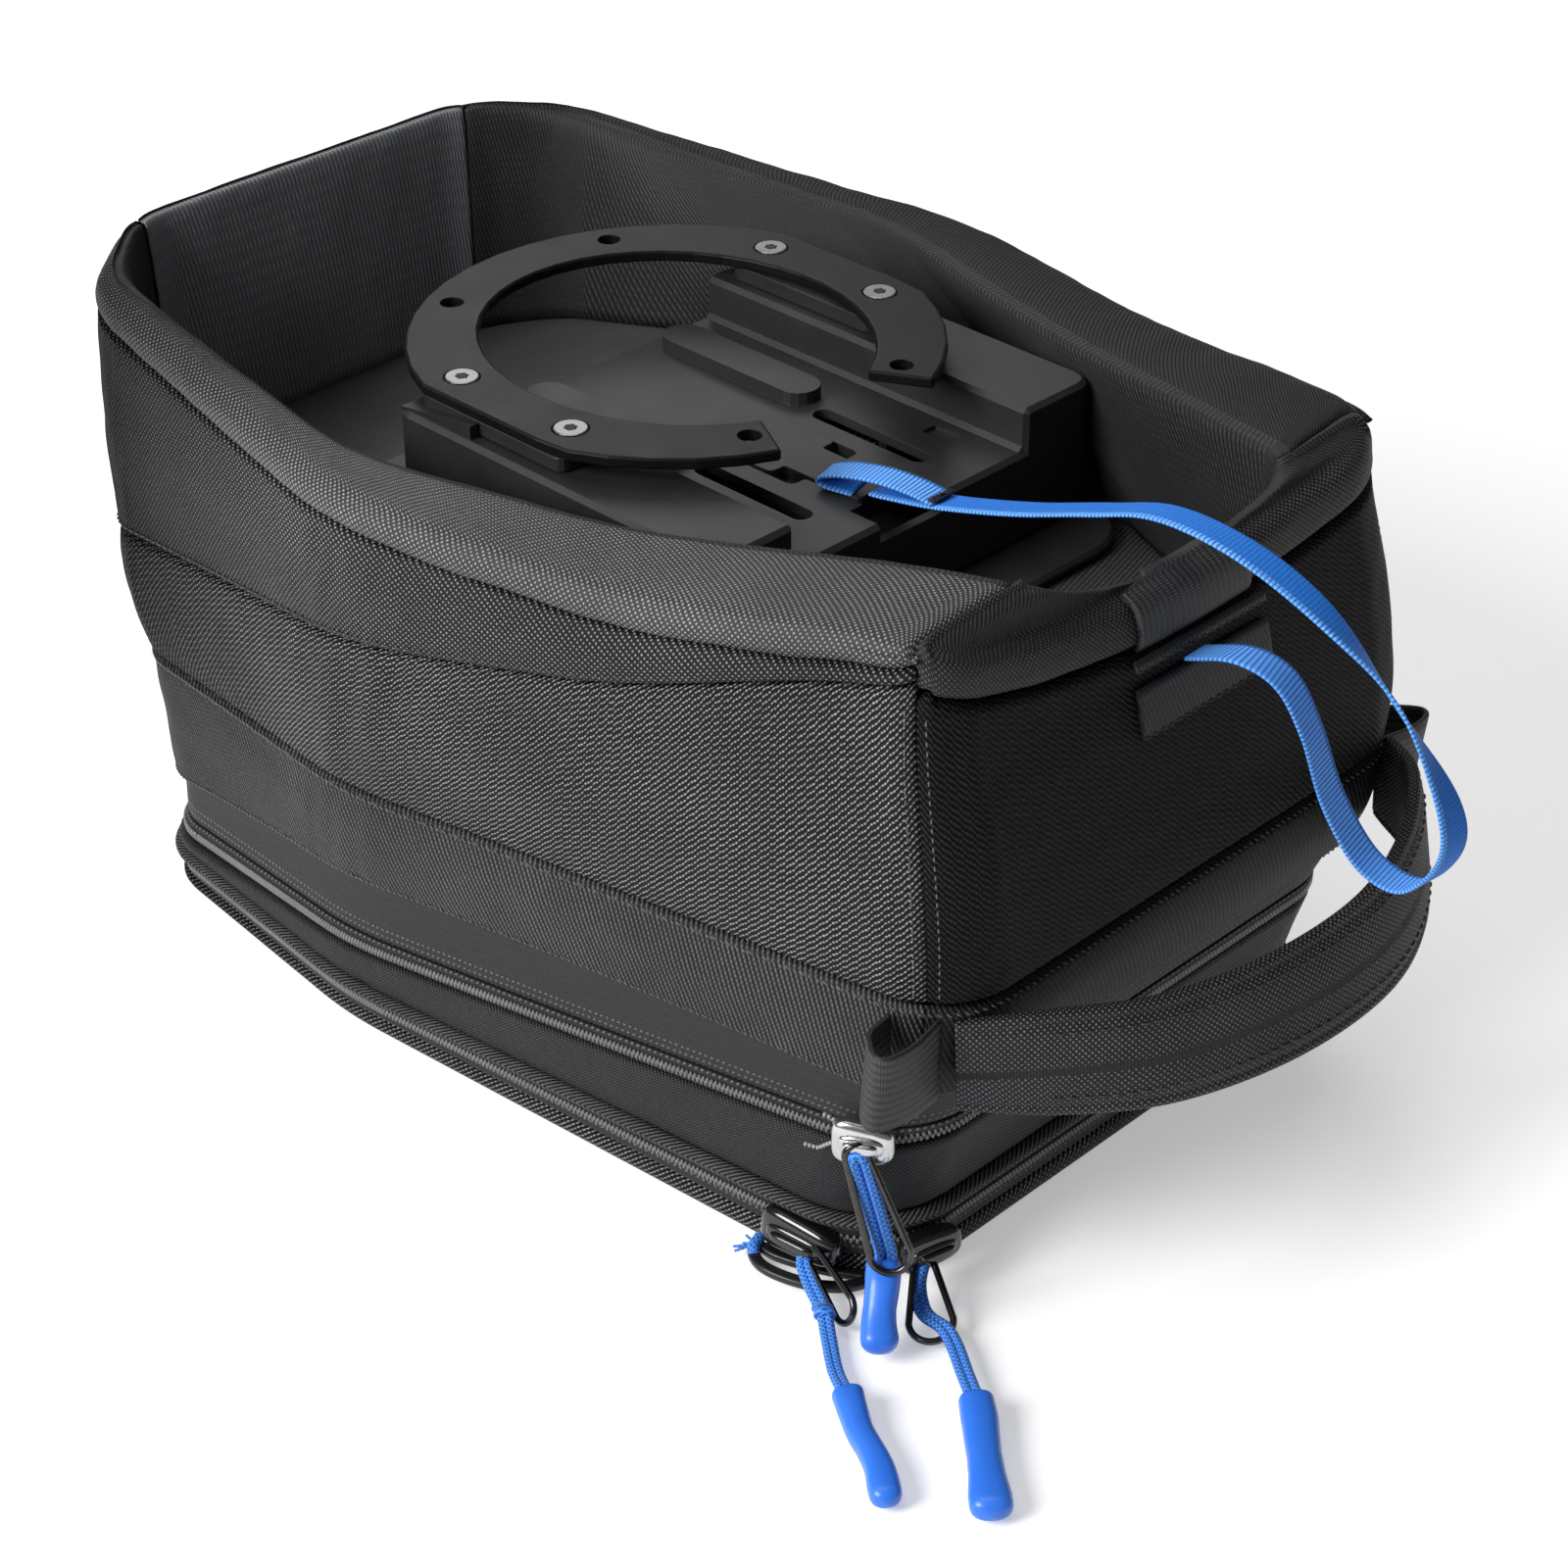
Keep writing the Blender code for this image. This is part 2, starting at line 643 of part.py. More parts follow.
def build_gusset():
    """Fabric sleeve that stands up inside the bag and shows as the wall when the bag is expanded."""
    sections = []
    seat = BAND_WALL + GAP
    for station in stations_between(0.0, float(STATIONS))[:-1]:
        split = line_height(EXPANSION_LINE, station)
        top = split + mix(*GUSSET_RISE, share_along(station))
        section = [on_wall(station, split - 8.0, seat), on_wall(station, split - 5.0, seat)]
        inner = [on_wall(station, split - 8.0, seat + GUSSET_WALL),
                 on_wall(station, split - 6.4, seat + GUSSET_WALL)]
        for height in (split - 2.6, mix(split, top, 0.5), top):
            for depth, side in ((0.0, section), (GUSSET_WALL, inner)):
                point = on_wall(station, split, GUSSET_INSET + depth)
                point.z = height - (depth if height < split else 0.0)
                point.x = min(point.x, expansion_arc(height, 1.0 + depth))
                side.append(point)
        sections.append(section + inner[::-1])
    return loft("expansion_gusset", sections, lining, closed=True)


build_zip_band()


# ---------- bag: walls, rim and tank recess ----------

def build_walls():
    skirt_inset = LOWER_BAND_WALL + GAP
    upper = wall_ring("expansion_zip_upper", line(EXPANSION_LINE, GAP / 2), line(EXPANSION_LINE, TAPE_HALF),
                      EXPANSION_ZIP_INSET, TAPE_WALL, zip_tape)
    skirt = wall_ring("zip_skirt", line(EXPANSION_LINE, TAPE_HALF + GAP), line(HEM_LINE, SKIRT_LAP),
                      skirt_inset, SKIRT_WALL, fine_weave)
    carry(bag_body, upper, skirt)
    for run in RUNS:
        band = wall_run("lower_band_" + run, run, line(HEM_LINE), line(LOWER_SEAM), LOWER_BAND_WALL, fine_weave,
                        levels=3, flare=LOWER_BAND_FLARE)
        carry(bag_body, band)
    tops = {"near": line(UPPER_SEAM, -GAP), "far": line(UPPER_SEAM, -GAP),
            "rear": lambda station: REAR_SEAM - GAP, "front": crest_height}
    for run, top in tops.items():
        panel = wall_run(run + "_panel", run, line(LOWER_SEAM, GAP), top, PANEL_WALL, coarse_weave)
        carry(bag_body, panel)
        if run == "rear":
            cut(panel, ribbon_slot("rear_slot"))


def ribbon_slot(name):
    rear = RIM_PLAN[3][0]
    return box(name, (rear - 20.0, rear + 20.0), (-SLOT_HALF_WIDTH, SLOT_HALF_WIDTH), SLOT_Z)


def roll_section(seam):
    """Section of the padded rim: outer face above the seam, round crest, face down to the recess floor."""
    def section_at(station):
        crest = crest_height(station)
        foot = seam(station)
        crease = max(crest - CREASE_DROP, mix(foot, crest, 0.4))
        brim = on_outline(BRIM, station)
        base = on_outline(RECESS, station)
        inward = (on_wall(station, crest, 8.0) - on_wall(station, crest)).to_2d().normalized()
        shoulder = brim - inward * 5.0
        low = recess_floor(base.x) - FLOOR_WALL
        hidden = PANEL_WALL + GAP
        return [on_wall(station, foot), on_wall(station, crease), on_wall(station, crest - 2.6, 1.6),
                on_wall(station, crest, 5.0), Vector((*shoulder, crest)), Vector((*brim, crest - 4.5)),
                Vector((*base, low)), on_wall(station, min(low, foot - 2.0), hidden),
                on_wall(station, foot, hidden)]
    return section_at


def build_rim():
    rolls = [("near_roll", "near", line(UPPER_SEAM)), ("far_roll", "far", line(UPPER_SEAM)),
             ("rear_roll", "rear", lambda station: REAR_SEAM)]
    for name, run, seam in rolls:
        carry(bag_body, loft(name, run_sections(run, roll_section(seam)), coarse_weave))


def recess_half(x):
    """Half width of the recess floor at x."""
    side = RECESS[:STATIONS // 2]
    for a, b in zip(side, side[1:]):
        if a[0] <= x <= b[0] and b[0] > a[0]:
            return -mix(a[1], b[1], (x - a[0]) / (b[0] - a[0]))
    return RECESS_PLAN[0][1]


def build_recess_floor():
    front = RECESS_PLAN[0][0] + GAP
    rear = RECESS_PLAN[3][0] - GAP
    bends = [x for x, y in RECESS[:STATIONS // 2] if front + 2.0 < x < rear - 2.0]
    places = [front, FLOOR_BREAK, rear] + bends
    sections = []
    for x in sorted(places):
        half = recess_half(x) - FLOOR_MARGIN
        top = recess_floor(x)
        sections.append([(x, -half, top - FLOOR_WALL), (x, half, top - FLOOR_WALL), (x, half, top), (x, -half, top)])
    panel = loft("recess_floor", sections, lining)
    carry(bag_body, panel)
    return panel


build_walls()
build_rim()
recess_panel = build_recess_floor()


# ---------- quick lock ----------

SIDES = ((-1.0, "near"), (1.0, "far"))


def side_range(values, side):
    return tuple(sorted(side * value for value in values))


PLATE_FOOT = FLOOR_TOP + GAP
HOUSING_FOOT = PLATE_FOOT + PLATE_THICK + GAP
BACKING_TOP = FLOOR_TOP - FLOOR_WALL - GAP
BACKING_FOOT = BACKING_TOP - BACKING_THICK
CHANNEL_UNDER = CHANNEL_TOP - HOUSING_WALL
BLOCK_FOOT = RAIL_TOP + GAP
RING_FOOT = RING_TOP - RING_THICK
LATCH_TOP = CHANNEL_UNDER - GAP
LATCH_UNDER = LATCH_TOP - LATCH_PLATE_THICK
SPRING_Z = LATCH_UNDER - SPRING_RADIUS - SPRING_WIRE - 0.4


def base_screw_places():
    return [(x, side * BASE_SCREW_Y) for x in BASE_SCREW_X for side in (-1.0, 1.0)]


def build_plates():
    base = prism("base_plate", rounded_plan(PLATE_X, (-PLATE_HALF, PLATE_HALF), PLATE_RADIUS, 6),
                 PLATE_FOOT, PLATE_FOOT + PLATE_THICK, plastic)
    margin = BACKING_MARGIN
    backing = prism("backing_plate",
                    rounded_plan((PLATE_X[0] + margin, PLATE_X[1] - margin),
                                 (margin - PLATE_HALF, PLATE_HALF - margin), PLATE_RADIUS, 4),
                    BACKING_FOOT, BACKING_TOP, plastic)
    carry(bag_body, base, backing)
    for place, spot in enumerate(base_screw_places()):
        hole = turned(f"screw_hole_{place}", [(BASE_SCREW_SHANK + GAP, BACKING_FOOT - 5.0),
                                              (BASE_SCREW_SHANK + GAP, HOUSING_FOOT + BASE_SCREW_REACH + 1.0)],
                      spot, sides=12)
        for part in (base, backing, recess_panel):
            cut(part, hole)
    bevel(base, 1.2)


def build_base_screws():
    head = BACKING_FOOT - GAP
    for place, spot in enumerate(base_screw_places()):
        profile = [(BASE_SCREW_HEAD * 0.7, head - 2.0), (BASE_SCREW_HEAD, head - 1.0), (BASE_SCREW_HEAD, head),
                   (BASE_SCREW_SHANK, head), (BASE_SCREW_SHANK, HOUSING_FOOT + BASE_SCREW_REACH)]
        carry(bag_body, turned(f"base_screw_{place + 1}", profile, spot, steel, 10))


def build_housing():
    """Moulded housing: two rails with a channel between, open below, with its latch window and slots."""
    wall = HOUSING_WALL
    housing = prism("lock_housing", rounded_plan(HOUSING_X, (-HOUSING_HALF, HOUSING_HALF), HOUSING_RADIUS, 3),
                    HOUSING_FOOT, RAIL_TOP, plastic)
    cut(housing, box("channel", (HOUSING_X[0] - 10.0, HOUSING_X[1] + 10.0), (-CHANNEL_HALF, CHANNEL_HALF),
                     (CHANNEL_TOP, RAIL_TOP + 10.0)))
    inside_x = (HOUSING_X[0] + wall, HOUSING_X[1] - wall)
    inside_half = HOUSING_HALF - wall
    bevel(housing, 1.4)
    cut(housing, prism("hollow", rounded_plan(inside_x, (-inside_half, inside_half), HOUSING_RADIUS - wall, 2),
                       HOUSING_FOOT - 5.0, CHANNEL_UNDER))
    for side, label in SIDES:
        cut(housing, box("rail_hollow_" + label, (inside_x[0] + 1.0, inside_x[1] - 1.0),
                         side_range((CHANNEL_HALF + wall, inside_half - 1.0), side),
                         (CHANNEL_UNDER - 5.0, RAIL_TOP - wall)))
        add(housing, lip(side, label))
        pad_y = side_range((PAD_Y - PAD_HALF, PAD_Y + PAD_HALF), side)
        add(housing, prism("pad_" + label, rounded_plan(PAD_X, pad_y, PAD_HALF - 0.2, 4),
                           CHANNEL_TOP - 1.0, CHANNEL_TOP + PAD_RISE))
        add(housing, box("spring_web_" + label, (spring_end(), spring_end() + wall),
                         side_range((SPRING_Y - 6.0, SPRING_Y + 6.0), side), (SPRING_Z - 5.5, CHANNEL_UNDER + 1.0)))
        slot_y = side_range((SLOT_Y - SLOT_HALF, SLOT_Y + SLOT_HALF), side)
        cut(housing, prism("guide_slot_" + label, rounded_plan(SLOT_X, slot_y, SLOT_HALF - 0.2, 4),
                           CHANNEL_UNDER - 2.0, CHANNEL_TOP + 2.0))
        cut(housing, box("leg_hole_" + label, (LEG_X[0] - GAP, LEG_X[1] + GAP),
                         side_range((LEG_Y[0] - GAP, LEG_Y[1] + GAP), side), (RAIL_TOP - 8.0, RAIL_TOP + 8.0)))
    cut(housing, box("catch_recess", CATCH_X, CATCH_Y, (CHANNEL_TOP - CATCH_DEPTH, CHANNEL_TOP + 5.0)))
    cut(housing, latch_window())
    for place, spot in enumerate(base_screw_places()):
        add(housing, turned(f"boss_{place}", [(BOSS_RADIUS, HOUSING_FOOT), (BOSS_RADIUS, RAIL_TOP - 1.0)], spot,
                            sides=12))
        cut(housing, turned(f"boss_hole_{place}", [(BASE_SCREW_SHANK + GAP, HOUSING_FOOT - 5.0),
                                                   (BASE_SCREW_SHANK + GAP, HOUSING_FOOT + BASE_SCREW_REACH + 1.0)],
                            spot, sides=12))
    carry(bag_body, housing)


def spring_end():
    return CROSSBAR_X[1] + GAP + SPRING_LENGTH + GAP


def lip(side, label):
    """Ramp along a rail's outer edge, which rises to lead the ring's guide block to its seat."""
    outer = HOUSING_HALF - 1.6
    y0, y1 = side_range((outer - LIP_WIDTH, outer), side)
    low = RAIL_TOP - 1.0
    return loft("lip_" + label, [[(x, y0, low), (x, y1, low), (x, y1, top), (x, y0, top)]
                                 for x, top in ((LIP_X[0] + 1.0, RAIL_TOP + 0.4), (LIP_X[1], RAIL_TOP + LIP_RISE))])


def tongue_plan(margin, travel=0.0):
    """Outline of the latch's tongue: a wide head at the front and a bar to the handle end."""
    x0 = TONGUE_X[0] - margin
    x1 = TONGUE_X[1] + margin + travel
    x2 = BAR_END + margin + travel
    wide = TONGUE_HALF + margin
    thin = BAR_HALF + margin
    return round_corners([(x0, -wide, 2.0), (x1, -wide, 2.0), (x1, -thin, 1.0), (x2, -thin, 1.5),
                          (x2, thin, 1.5), (x1, thin, 1.0), (x1, wide, 2.0), (x0, wide, 2.0)], 2)


def latch_window():
    window = prism("latch_window", tongue_plan(0.5, LATCH_TRAVEL), CHANNEL_UNDER - 2.0, CHANNEL_TOP + 5.0)
    add(window, box("ribbon_notch", (NOTCH_X, HOUSING_X[1] + 5.0), (-NOTCH_HALF, NOTCH_HALF),
                    (CHANNEL_UNDER - 2.5, CHANNEL_TOP + 5.5)))
    return window


def build_latch():
    """Latch slide: a plate under the channel floor, its tongue in the window, and a crossbar with noses."""
    latch = box("latch_slide", (TONGUE_X[0] - 3.0, BAR_END), (-LATCH_PLATE_HALF, LATCH_PLATE_HALF),
                (LATCH_UNDER, LATCH_TOP), plastic)
    add(latch, prism("tongue", tongue_plan(0.0), LATCH_TOP - 1.0, CHANNEL_TOP + TONGUE_RISE))
    add(latch, box("crossbar", CROSSBAR_X, (-CROSSBAR_HALF, CROSSBAR_HALF),
                   (LATCH_TOP - CROSSBAR_DROP, LATCH_UNDER + 1.0)))
    for side, label in SIDES:
        nose_top = LATCH_UNDER - 0.6
        nose_y = side_range((LEG_Y[0] - 0.5, CROSSBAR_HALF), side)
        nose = loft("nose_" + label, [[(x, nose_y[0], nose_top - height), (x, nose_y[1], nose_top - height),
                                       (x, nose_y[1], nose_top), (x, nose_y[0], nose_top)]
                                      for x, height in ((LEG_X[1] + NOSE_CLEARANCE, NOSE_HEIGHT - 1.4),
                                                        (CROSSBAR_X[0] + 1.0, NOSE_HEIGHT))])
        add(latch, nose)
    cut(latch, box("ribbon_eye", (BAR_END - 9.0, BAR_END - 5.0), (-RIBBON_WIDTH / 2 - 0.6, RIBBON_WIDTH / 2 + 0.6),
                   (LATCH_UNDER - 2.0, CHANNEL_TOP + 5.0)))
    carry_on(latch_body, latch)


def carry_on(carrier, *pieces):
    """Parents pieces to a carrier that is itself carried."""
    bpy.context.view_layer.update()
    for piece in pieces:
        piece.parent = carrier
        piece.matrix_parent_inverse = carrier.matrix_world.inverted()


def build_springs():
    for side, label in SIDES:
        start = CROSSBAR_X[1] + GAP + SPRING_WIRE
        length = SPRING_LENGTH - 2 * SPRING_WIRE
        count = SPRING_TURNS * SPRING_POINTS
        coil = []
        for step in range(count + 1):
            angle = math.tau * step / SPRING_POINTS
            coil.append((start + length * step / count, side * SPRING_Y + SPRING_RADIUS * math.cos(angle),
                         SPRING_Z + SPRING_RADIUS * math.sin(angle)))
        spring = tube("latch_spring_" + label, coil, SPRING_WIRE, steel)
        carry(bag_body, spring)
    pitch = (SPRING_LENGTH - 2 * SPRING_WIRE) / SPRING_TURNS
    print("spring turns lie", round(pitch - 2 * SPRING_WIRE, 3), "mm apart")


latch_body = body("latch_body", (TONGUE_X[0], 0.0, CHANNEL_TOP))
carry(bag_body, latch_body)
build_plates()
build_base_screws()
build_housing()
build_latch()
build_springs()


# ---------- ring with its guide blocks ----------

def ring_sections():
    sections = []
    mouth = math.radians(RING_MOUTH)
    for step in range(RING_STEPS + 1):
        angle = mix(mouth, math.tau - mouth, step / RING_STEPS)
        outer = (RING_CENTRE + RING_OUTER[0] * math.cos(angle),
                 min(max(RING_OUTER[1] * math.sin(angle), -RING_FLAT), RING_FLAT))
        inner = (RING_CENTRE + RING_INNER[0] * math.cos(angle), RING_INNER[1] * math.sin(angle))
        sections.append([(*inner, RING_FOOT), (*outer, RING_FOOT), (*outer, RING_TOP), (*inner, RING_TOP)])
    return sections


def ring_screw_places():
    return [(RING_CENTRE + x, side * RING_SCREW_Y) for x in RING_SCREWS for side in (-1.0, 1.0)]


def build_ring():
    ring_body = body("ring_body", (RING_CENTRE, 0.0, RING_FOOT))
    carry(bag_body, ring_body)
    ring = loft("tank_ring", ring_sections(), ring_black)
    bevel(ring, 0.6, 1, 60.0)
    for place, (x, y) in enumerate(ring_screw_places()):
        sink = [(SCREW_SHANK + GAP, RING_FOOT - 2.0), (SCREW_SHANK + GAP, RING_TOP - SCREW_SINK - 0.2),
                (SCREW_HEAD + GAP, RING_TOP - 0.3), (SCREW_HEAD + GAP, RING_TOP + 2.0)]
        cut(ring, turned(f"countersink_{place}", sink, (x, y), sides=20))
    for place, (x, half) in enumerate(RING_HOLES):
        for side in (-1.0, 1.0):
            bore = [(HOLE_RADIUS, RING_FOOT - 2.0), (HOLE_RADIUS, RING_TOP + 2.0)]
            cut(ring, turned(f"ring_hole_{place}_{side:.0f}", bore, (RING_CENTRE + x, side * half), sides=16))
    carry_on(ring_body, ring)
    for side, label in SIDES:
        block = prism("guide_block_" + label,
                      rounded_plan((BLOCK_FRONT, BLOCK_X[1]), side_range(BLOCK_Y, side), 3.0, 3),
                      BLOCK_FOOT, RING_FOOT - GAP, plastic)
        add(block, box("leg_" + label, LEG_X, side_range(LEG_Y, side), (LEG_FOOT, BLOCK_FOOT + 1.0)))
        notch_top = LATCH_UNDER - 0.6 + 0.4
        cut(block, box("leg_notch_" + label, (LEG_X[1] - LEG_NOTCH, LEG_X[1] + 2.0),
                       side_range((LEG_Y[0] - 2.0, LEG_Y[1] + 2.0), side),
                       (notch_top - NOSE_HEIGHT - 0.4, notch_top)))
        for place, (x, y) in enumerate(ring_screw_places()):
            if y * side > 0:
                cut(block, turned(f"block_hole_{label}_{place}", [(SCREW_SHANK + GAP, BLOCK_FOOT - 2.0),
                                                                  (SCREW_SHANK + GAP, RING_FOOT + 2.0)],
                                  (x, y), sides=12))
        carry_on(ring_body, block)
    for place, spot in enumerate(ring_screw_places()):
        socket = 1.7
        profile = [(SCREW_SHANK, BLOCK_FOOT + 0.4), (SCREW_SHANK, RING_TOP - SCREW_SINK),
                   (SCREW_HEAD, RING_TOP - 0.1), (SCREW_HEAD, RING_TOP + 0.1), (SCREW_HEAD - 0.4, RING_TOP + 0.3),
                   (socket, RING_TOP + 0.3), (socket, RING_TOP - 1.2)]
        carry_on(ring_body, turned(f"ring_screw_{place + 1}", profile, spot, steel, 18))


build_ring()


# ---------- ribbon, patches, loops and handle ----------

def build_ribbon():
    path = smooth_path(RIBBON_ROUTE, RIBBON_POINTS)
    across = [(0.0, 1.0, 0.0)] * len(path)
    ribbon = strip("release_ribbon", path, across, [RIBBON_WIDTH] * len(path), RIBBON_THICK, blue_webbing)
    carry_on(latch_body, ribbon)
    print("ribbon length", round(sum((b - a).length for a, b in zip(path, path[1:])), 1), "mm")


def offset_line(points, distance):
    """Moves an open line of flat points to its right side, with mitred corners."""
    normals = []
    for a, b in zip(points, points[1:]):
        along = (b - a).normalized()
        normals.append(Vector((along.y, -along.x)))
    moved = []
    for place, point in enumerate(points):
        before = normals[max(place - 1, 0)]
        after = normals[min(place, len(normals) - 1)]
        middle = (before + after).normalized()
        moved.append(point + middle * distance / middle.dot(before))
    return moved


def build_patches():
    middle = REAR_NEAR + CORNER_POINTS / 2
    patch_low, patch_high = SLOT_PATCH_Z
    skin = SLOT_PATCH_THICK
    face = on_wall(middle, mix(patch_low, patch_high, 0.5)).x + GAP
    patch = box("slot_patch", (face, face + skin), (-SLOT_PATCH_HALF, SLOT_PATCH_HALF), SLOT_PATCH_Z, fine_weave)
    cut(patch, ribbon_slot("patch_slot"))
    section_at = roll_section(lambda station: REAR_SEAM)
    beside = next(s for s in stations_between(*RUNS["rear"]) if s > middle + 0.01)
    share = EDGE_PATCH_HALF / (on_wall(beside, REAR_SEAM).y - on_wall(middle, REAR_SEAM).y)
    roll = [a.lerp(b, share) for a, b in zip(section_at(middle), section_at(beside))]
    line_over = [Vector((point.x, point.z)) for point in roll[:6]]
    line_over.append(line_over[-1].lerp(Vector((roll[6].x, roll[6].z)), 0.15))
    line_over[0].y += 1.0
    inner = offset_line(line_over, 2 * GAP)
    outer = offset_line(line_over, 2 * GAP + EDGE_PATCH_THICK)
    half = EDGE_PATCH_HALF
    edge = loft("edge_patch", [[(a.x, -half, a.y), (a.x, half, a.y), (b.x, half, b.y), (b.x, -half, b.y)]
                               for a, b in zip(inner, outer)], webbing)
    carry(bag_body, patch, edge)


def build_loops():
    """Webbing loops sewn in at the two handle-end corners."""
    for side, label, corner in ((-1.0, "near", REAR_NEAR), (1.0, "far", REAR_FAR)):
        proud = LOOP_THICK / 2 + LOWER_BAND_FLARE + GAP
        start = on_wall(corner + side * 1.5, LOOP_Z, -proud)
        end = on_wall(corner + side * 0.2, LOOP_Z, -proud)
        tip = on_wall(corner + side * 0.8, LOOP_Z) + Vector((0.0, side * LOOP_REACH, 0.0))
        route = [start, start.lerp(tip, 0.55) + Vector((-3.0, 0.0, 0.0)), tip + Vector((-2.0, -side * 2.0, 0.0)),
                 tip + Vector((2.0, -side * 0.5, 0.0)), tip + Vector((4.5, -side * 3.0, 0.0)),
                 end.lerp(tip, 0.5) + Vector((3.5, 0.0, 0.0)), end]
        path = smooth_path(route, 19)
        loop = strip(label + "_loop", path, [(0.0, 0.0, 1.0)] * 19, [LOOP_TAPE] * 19, LOOP_THICK, webbing)
        carry(bag_body, loop)


def build_handle():
    proud = HANDLE_THICK / 2 + LOWER_BAND_FLARE / 2 + GAP
    near = on_wall(REAR_NEAR + 0.9, HANDLE_PIVOT_Z, -proud)
    far = on_wall(REAR_FAR - 0.9, HANDLE_PIVOT_Z + 5.0, -proud)
    path = smooth_path([near, *HANDLE_ROUTE, far], HANDLE_POINTS)
    across = []
    heights = []
    for place in range(HANDLE_POINTS):
        middle = math.sin(math.pi * place / (HANDLE_POINTS - 1))
        across.append((-HANDLE_LEAN * middle, 0.0, 1.0))
        heights.append(mix(HANDLE_END_HEIGHT, HANDLE_HEIGHT, min(1.0, middle * 2.2)))
    handle_body = body("handle_body", (near.x, 0.0, HANDLE_PIVOT_Z))
    carry(bag_body, handle_body)
    band = strip("carry_handle", path, across, heights, HANDLE_THICK, fine_weave)
    bevel(band, 1.4)
    carry_on(handle_body, band)


build_ribbon()
build_patches()
build_loops()
build_handle()


# ---------- zip sliders and their pulls ----------

def wall_spot(station, height, inset):
    """A place on the wall with the direction along it and straight out of it."""
    here = on_wall(station, height, inset)
    along = on_wall(station + 0.02, height, inset) - here
    along.z = 0.0
    along.normalize()
    return here, along, Vector((along.y, -along.x, 0.0))


def build_slider(name, spot, along, out, finish):
    """Zip slider: a rounded body against the teeth, with a bridge for the pull."""
    def section(x_place, half_height, depth):
        centre = spot + along * x_place
        return [centre + Vector((0.0, 0.0, -half_height)), centre + Vector((0.0, 0.0, half_height)),
                centre + out * depth + Vector((0.0, 0.0, half_height * 0.8)),
                centre + out * depth + Vector((0.0, 0.0, -half_height * 0.8))]
    half = SLIDER_LENGTH / 2
    tall = SLIDER_HEIGHT / 2
    flat = SLIDER_DEPTH * SLIDER_FLAT
    part = loft(name, [section(-half, tall * 0.62, flat * 0.7), section(-half * 0.6, tall * 0.9, flat),
                       section(half * 0.2, tall, flat), section(half, tall * 0.9, flat * 0.7)], finish)
    bridge = loft(name + "_bridge", [section(-half * 0.55, 1.3, flat * 0.8), section(-half * 0.3, 1.5, SLIDER_DEPTH),
                                     section(half * 0.4, 1.5, SLIDER_DEPTH), section(half * 0.7, 1.3, flat * 0.8)])
    add(part, bridge)
    return part


def build_pull(label, pivot, wire_end, cord_end, end_tip, end_width, end_height):
    """Wire loop on the slider, a doubled cord through it, and the moulded end."""
    wire_end = Vector(wire_end)
    away = (wire_end - pivot).normalized()
    up = Vector((0.0, 0.0, 1.0))
    upright = (up - away * away.z).normalized()
    flat = away.cross(upright).normalized()
    length = (wire_end - pivot).length
    route = []
    for share, half, turn in ((0.0, WIRE_PINCH, 0.0), (0.25, WIRE_PINCH, 0.2), (0.6, WIRE_WIDTH * 0.8, 0.9),
                              (0.85, WIRE_WIDTH, 1.2), (0.96, WIRE_WIDTH * 0.7, 1.3), (1.0, 0.0, 1.3)):
        side = upright * math.cos(turn) + flat * math.sin(turn)
        route.append((pivot + away * length * share, side * half))
    points = [spot + side for spot, side in route] + [spot - side for spot, side in route[-2::-1]]
    wire = tube(label + "_wire", smooth_path(points, 25), WIRE_RADIUS, wire_metal)
    start = wire_end + (Vector(cord_end) - wire_end).normalized() * (WIRE_RADIUS + CORD_RADIUS + GAP)
    cord_end = Vector(cord_end)
    line_on = (cord_end - start).normalized()
    tip = Vector(end_tip)
    axis = (tip - cord_end).normalized()
    first = cord_end + axis * GAP
    spread = Vector((axis.y, -axis.x, 0.0)).normalized() * (CORD_SPREAD + GAP / 2)
    straight = cord_end - axis * 2.5
    belly = start.lerp(cord_end, 0.4)
    shoulder = start + line_on * 1.2
    loop = [straight + spread, belly + spread * 1.15, shoulder + spread * 0.8, start,
            shoulder - spread * 0.8, belly - spread * 1.15, straight - spread]
    route = [cord_end + spread, *smooth_path(loop, 19), cord_end - spread]
    cord = tube(label + "_cord", route, CORD_RADIUS, blue_cord)
    broad = Vector((axis.y, -axis.x, 0.0)).normalized()
    high = broad.cross(axis).normalized()
    sections = []
    for share, full in ((0.0, 0.72), (0.05, 0.86), (0.25, 0.94), (0.6, 1.0), (0.85, 0.96), (0.95, 0.8), (1.0, 0.5)):
        centre = first.lerp(tip, share)
        ring = []
        for turn in range(14):
            angle = math.tau * turn / 14
            c, s = math.cos(angle), math.sin(angle)
            ring.append(centre + broad * end_width / 2 * full * math.copysign(abs(c) ** 0.7, c)
                        + high * end_height / 2 * full * math.copysign(abs(s) ** 0.7, s))
        sections.append(ring)
    end = loft(label + "_grip", sections, blue_rubber)
    return wire, cord, end


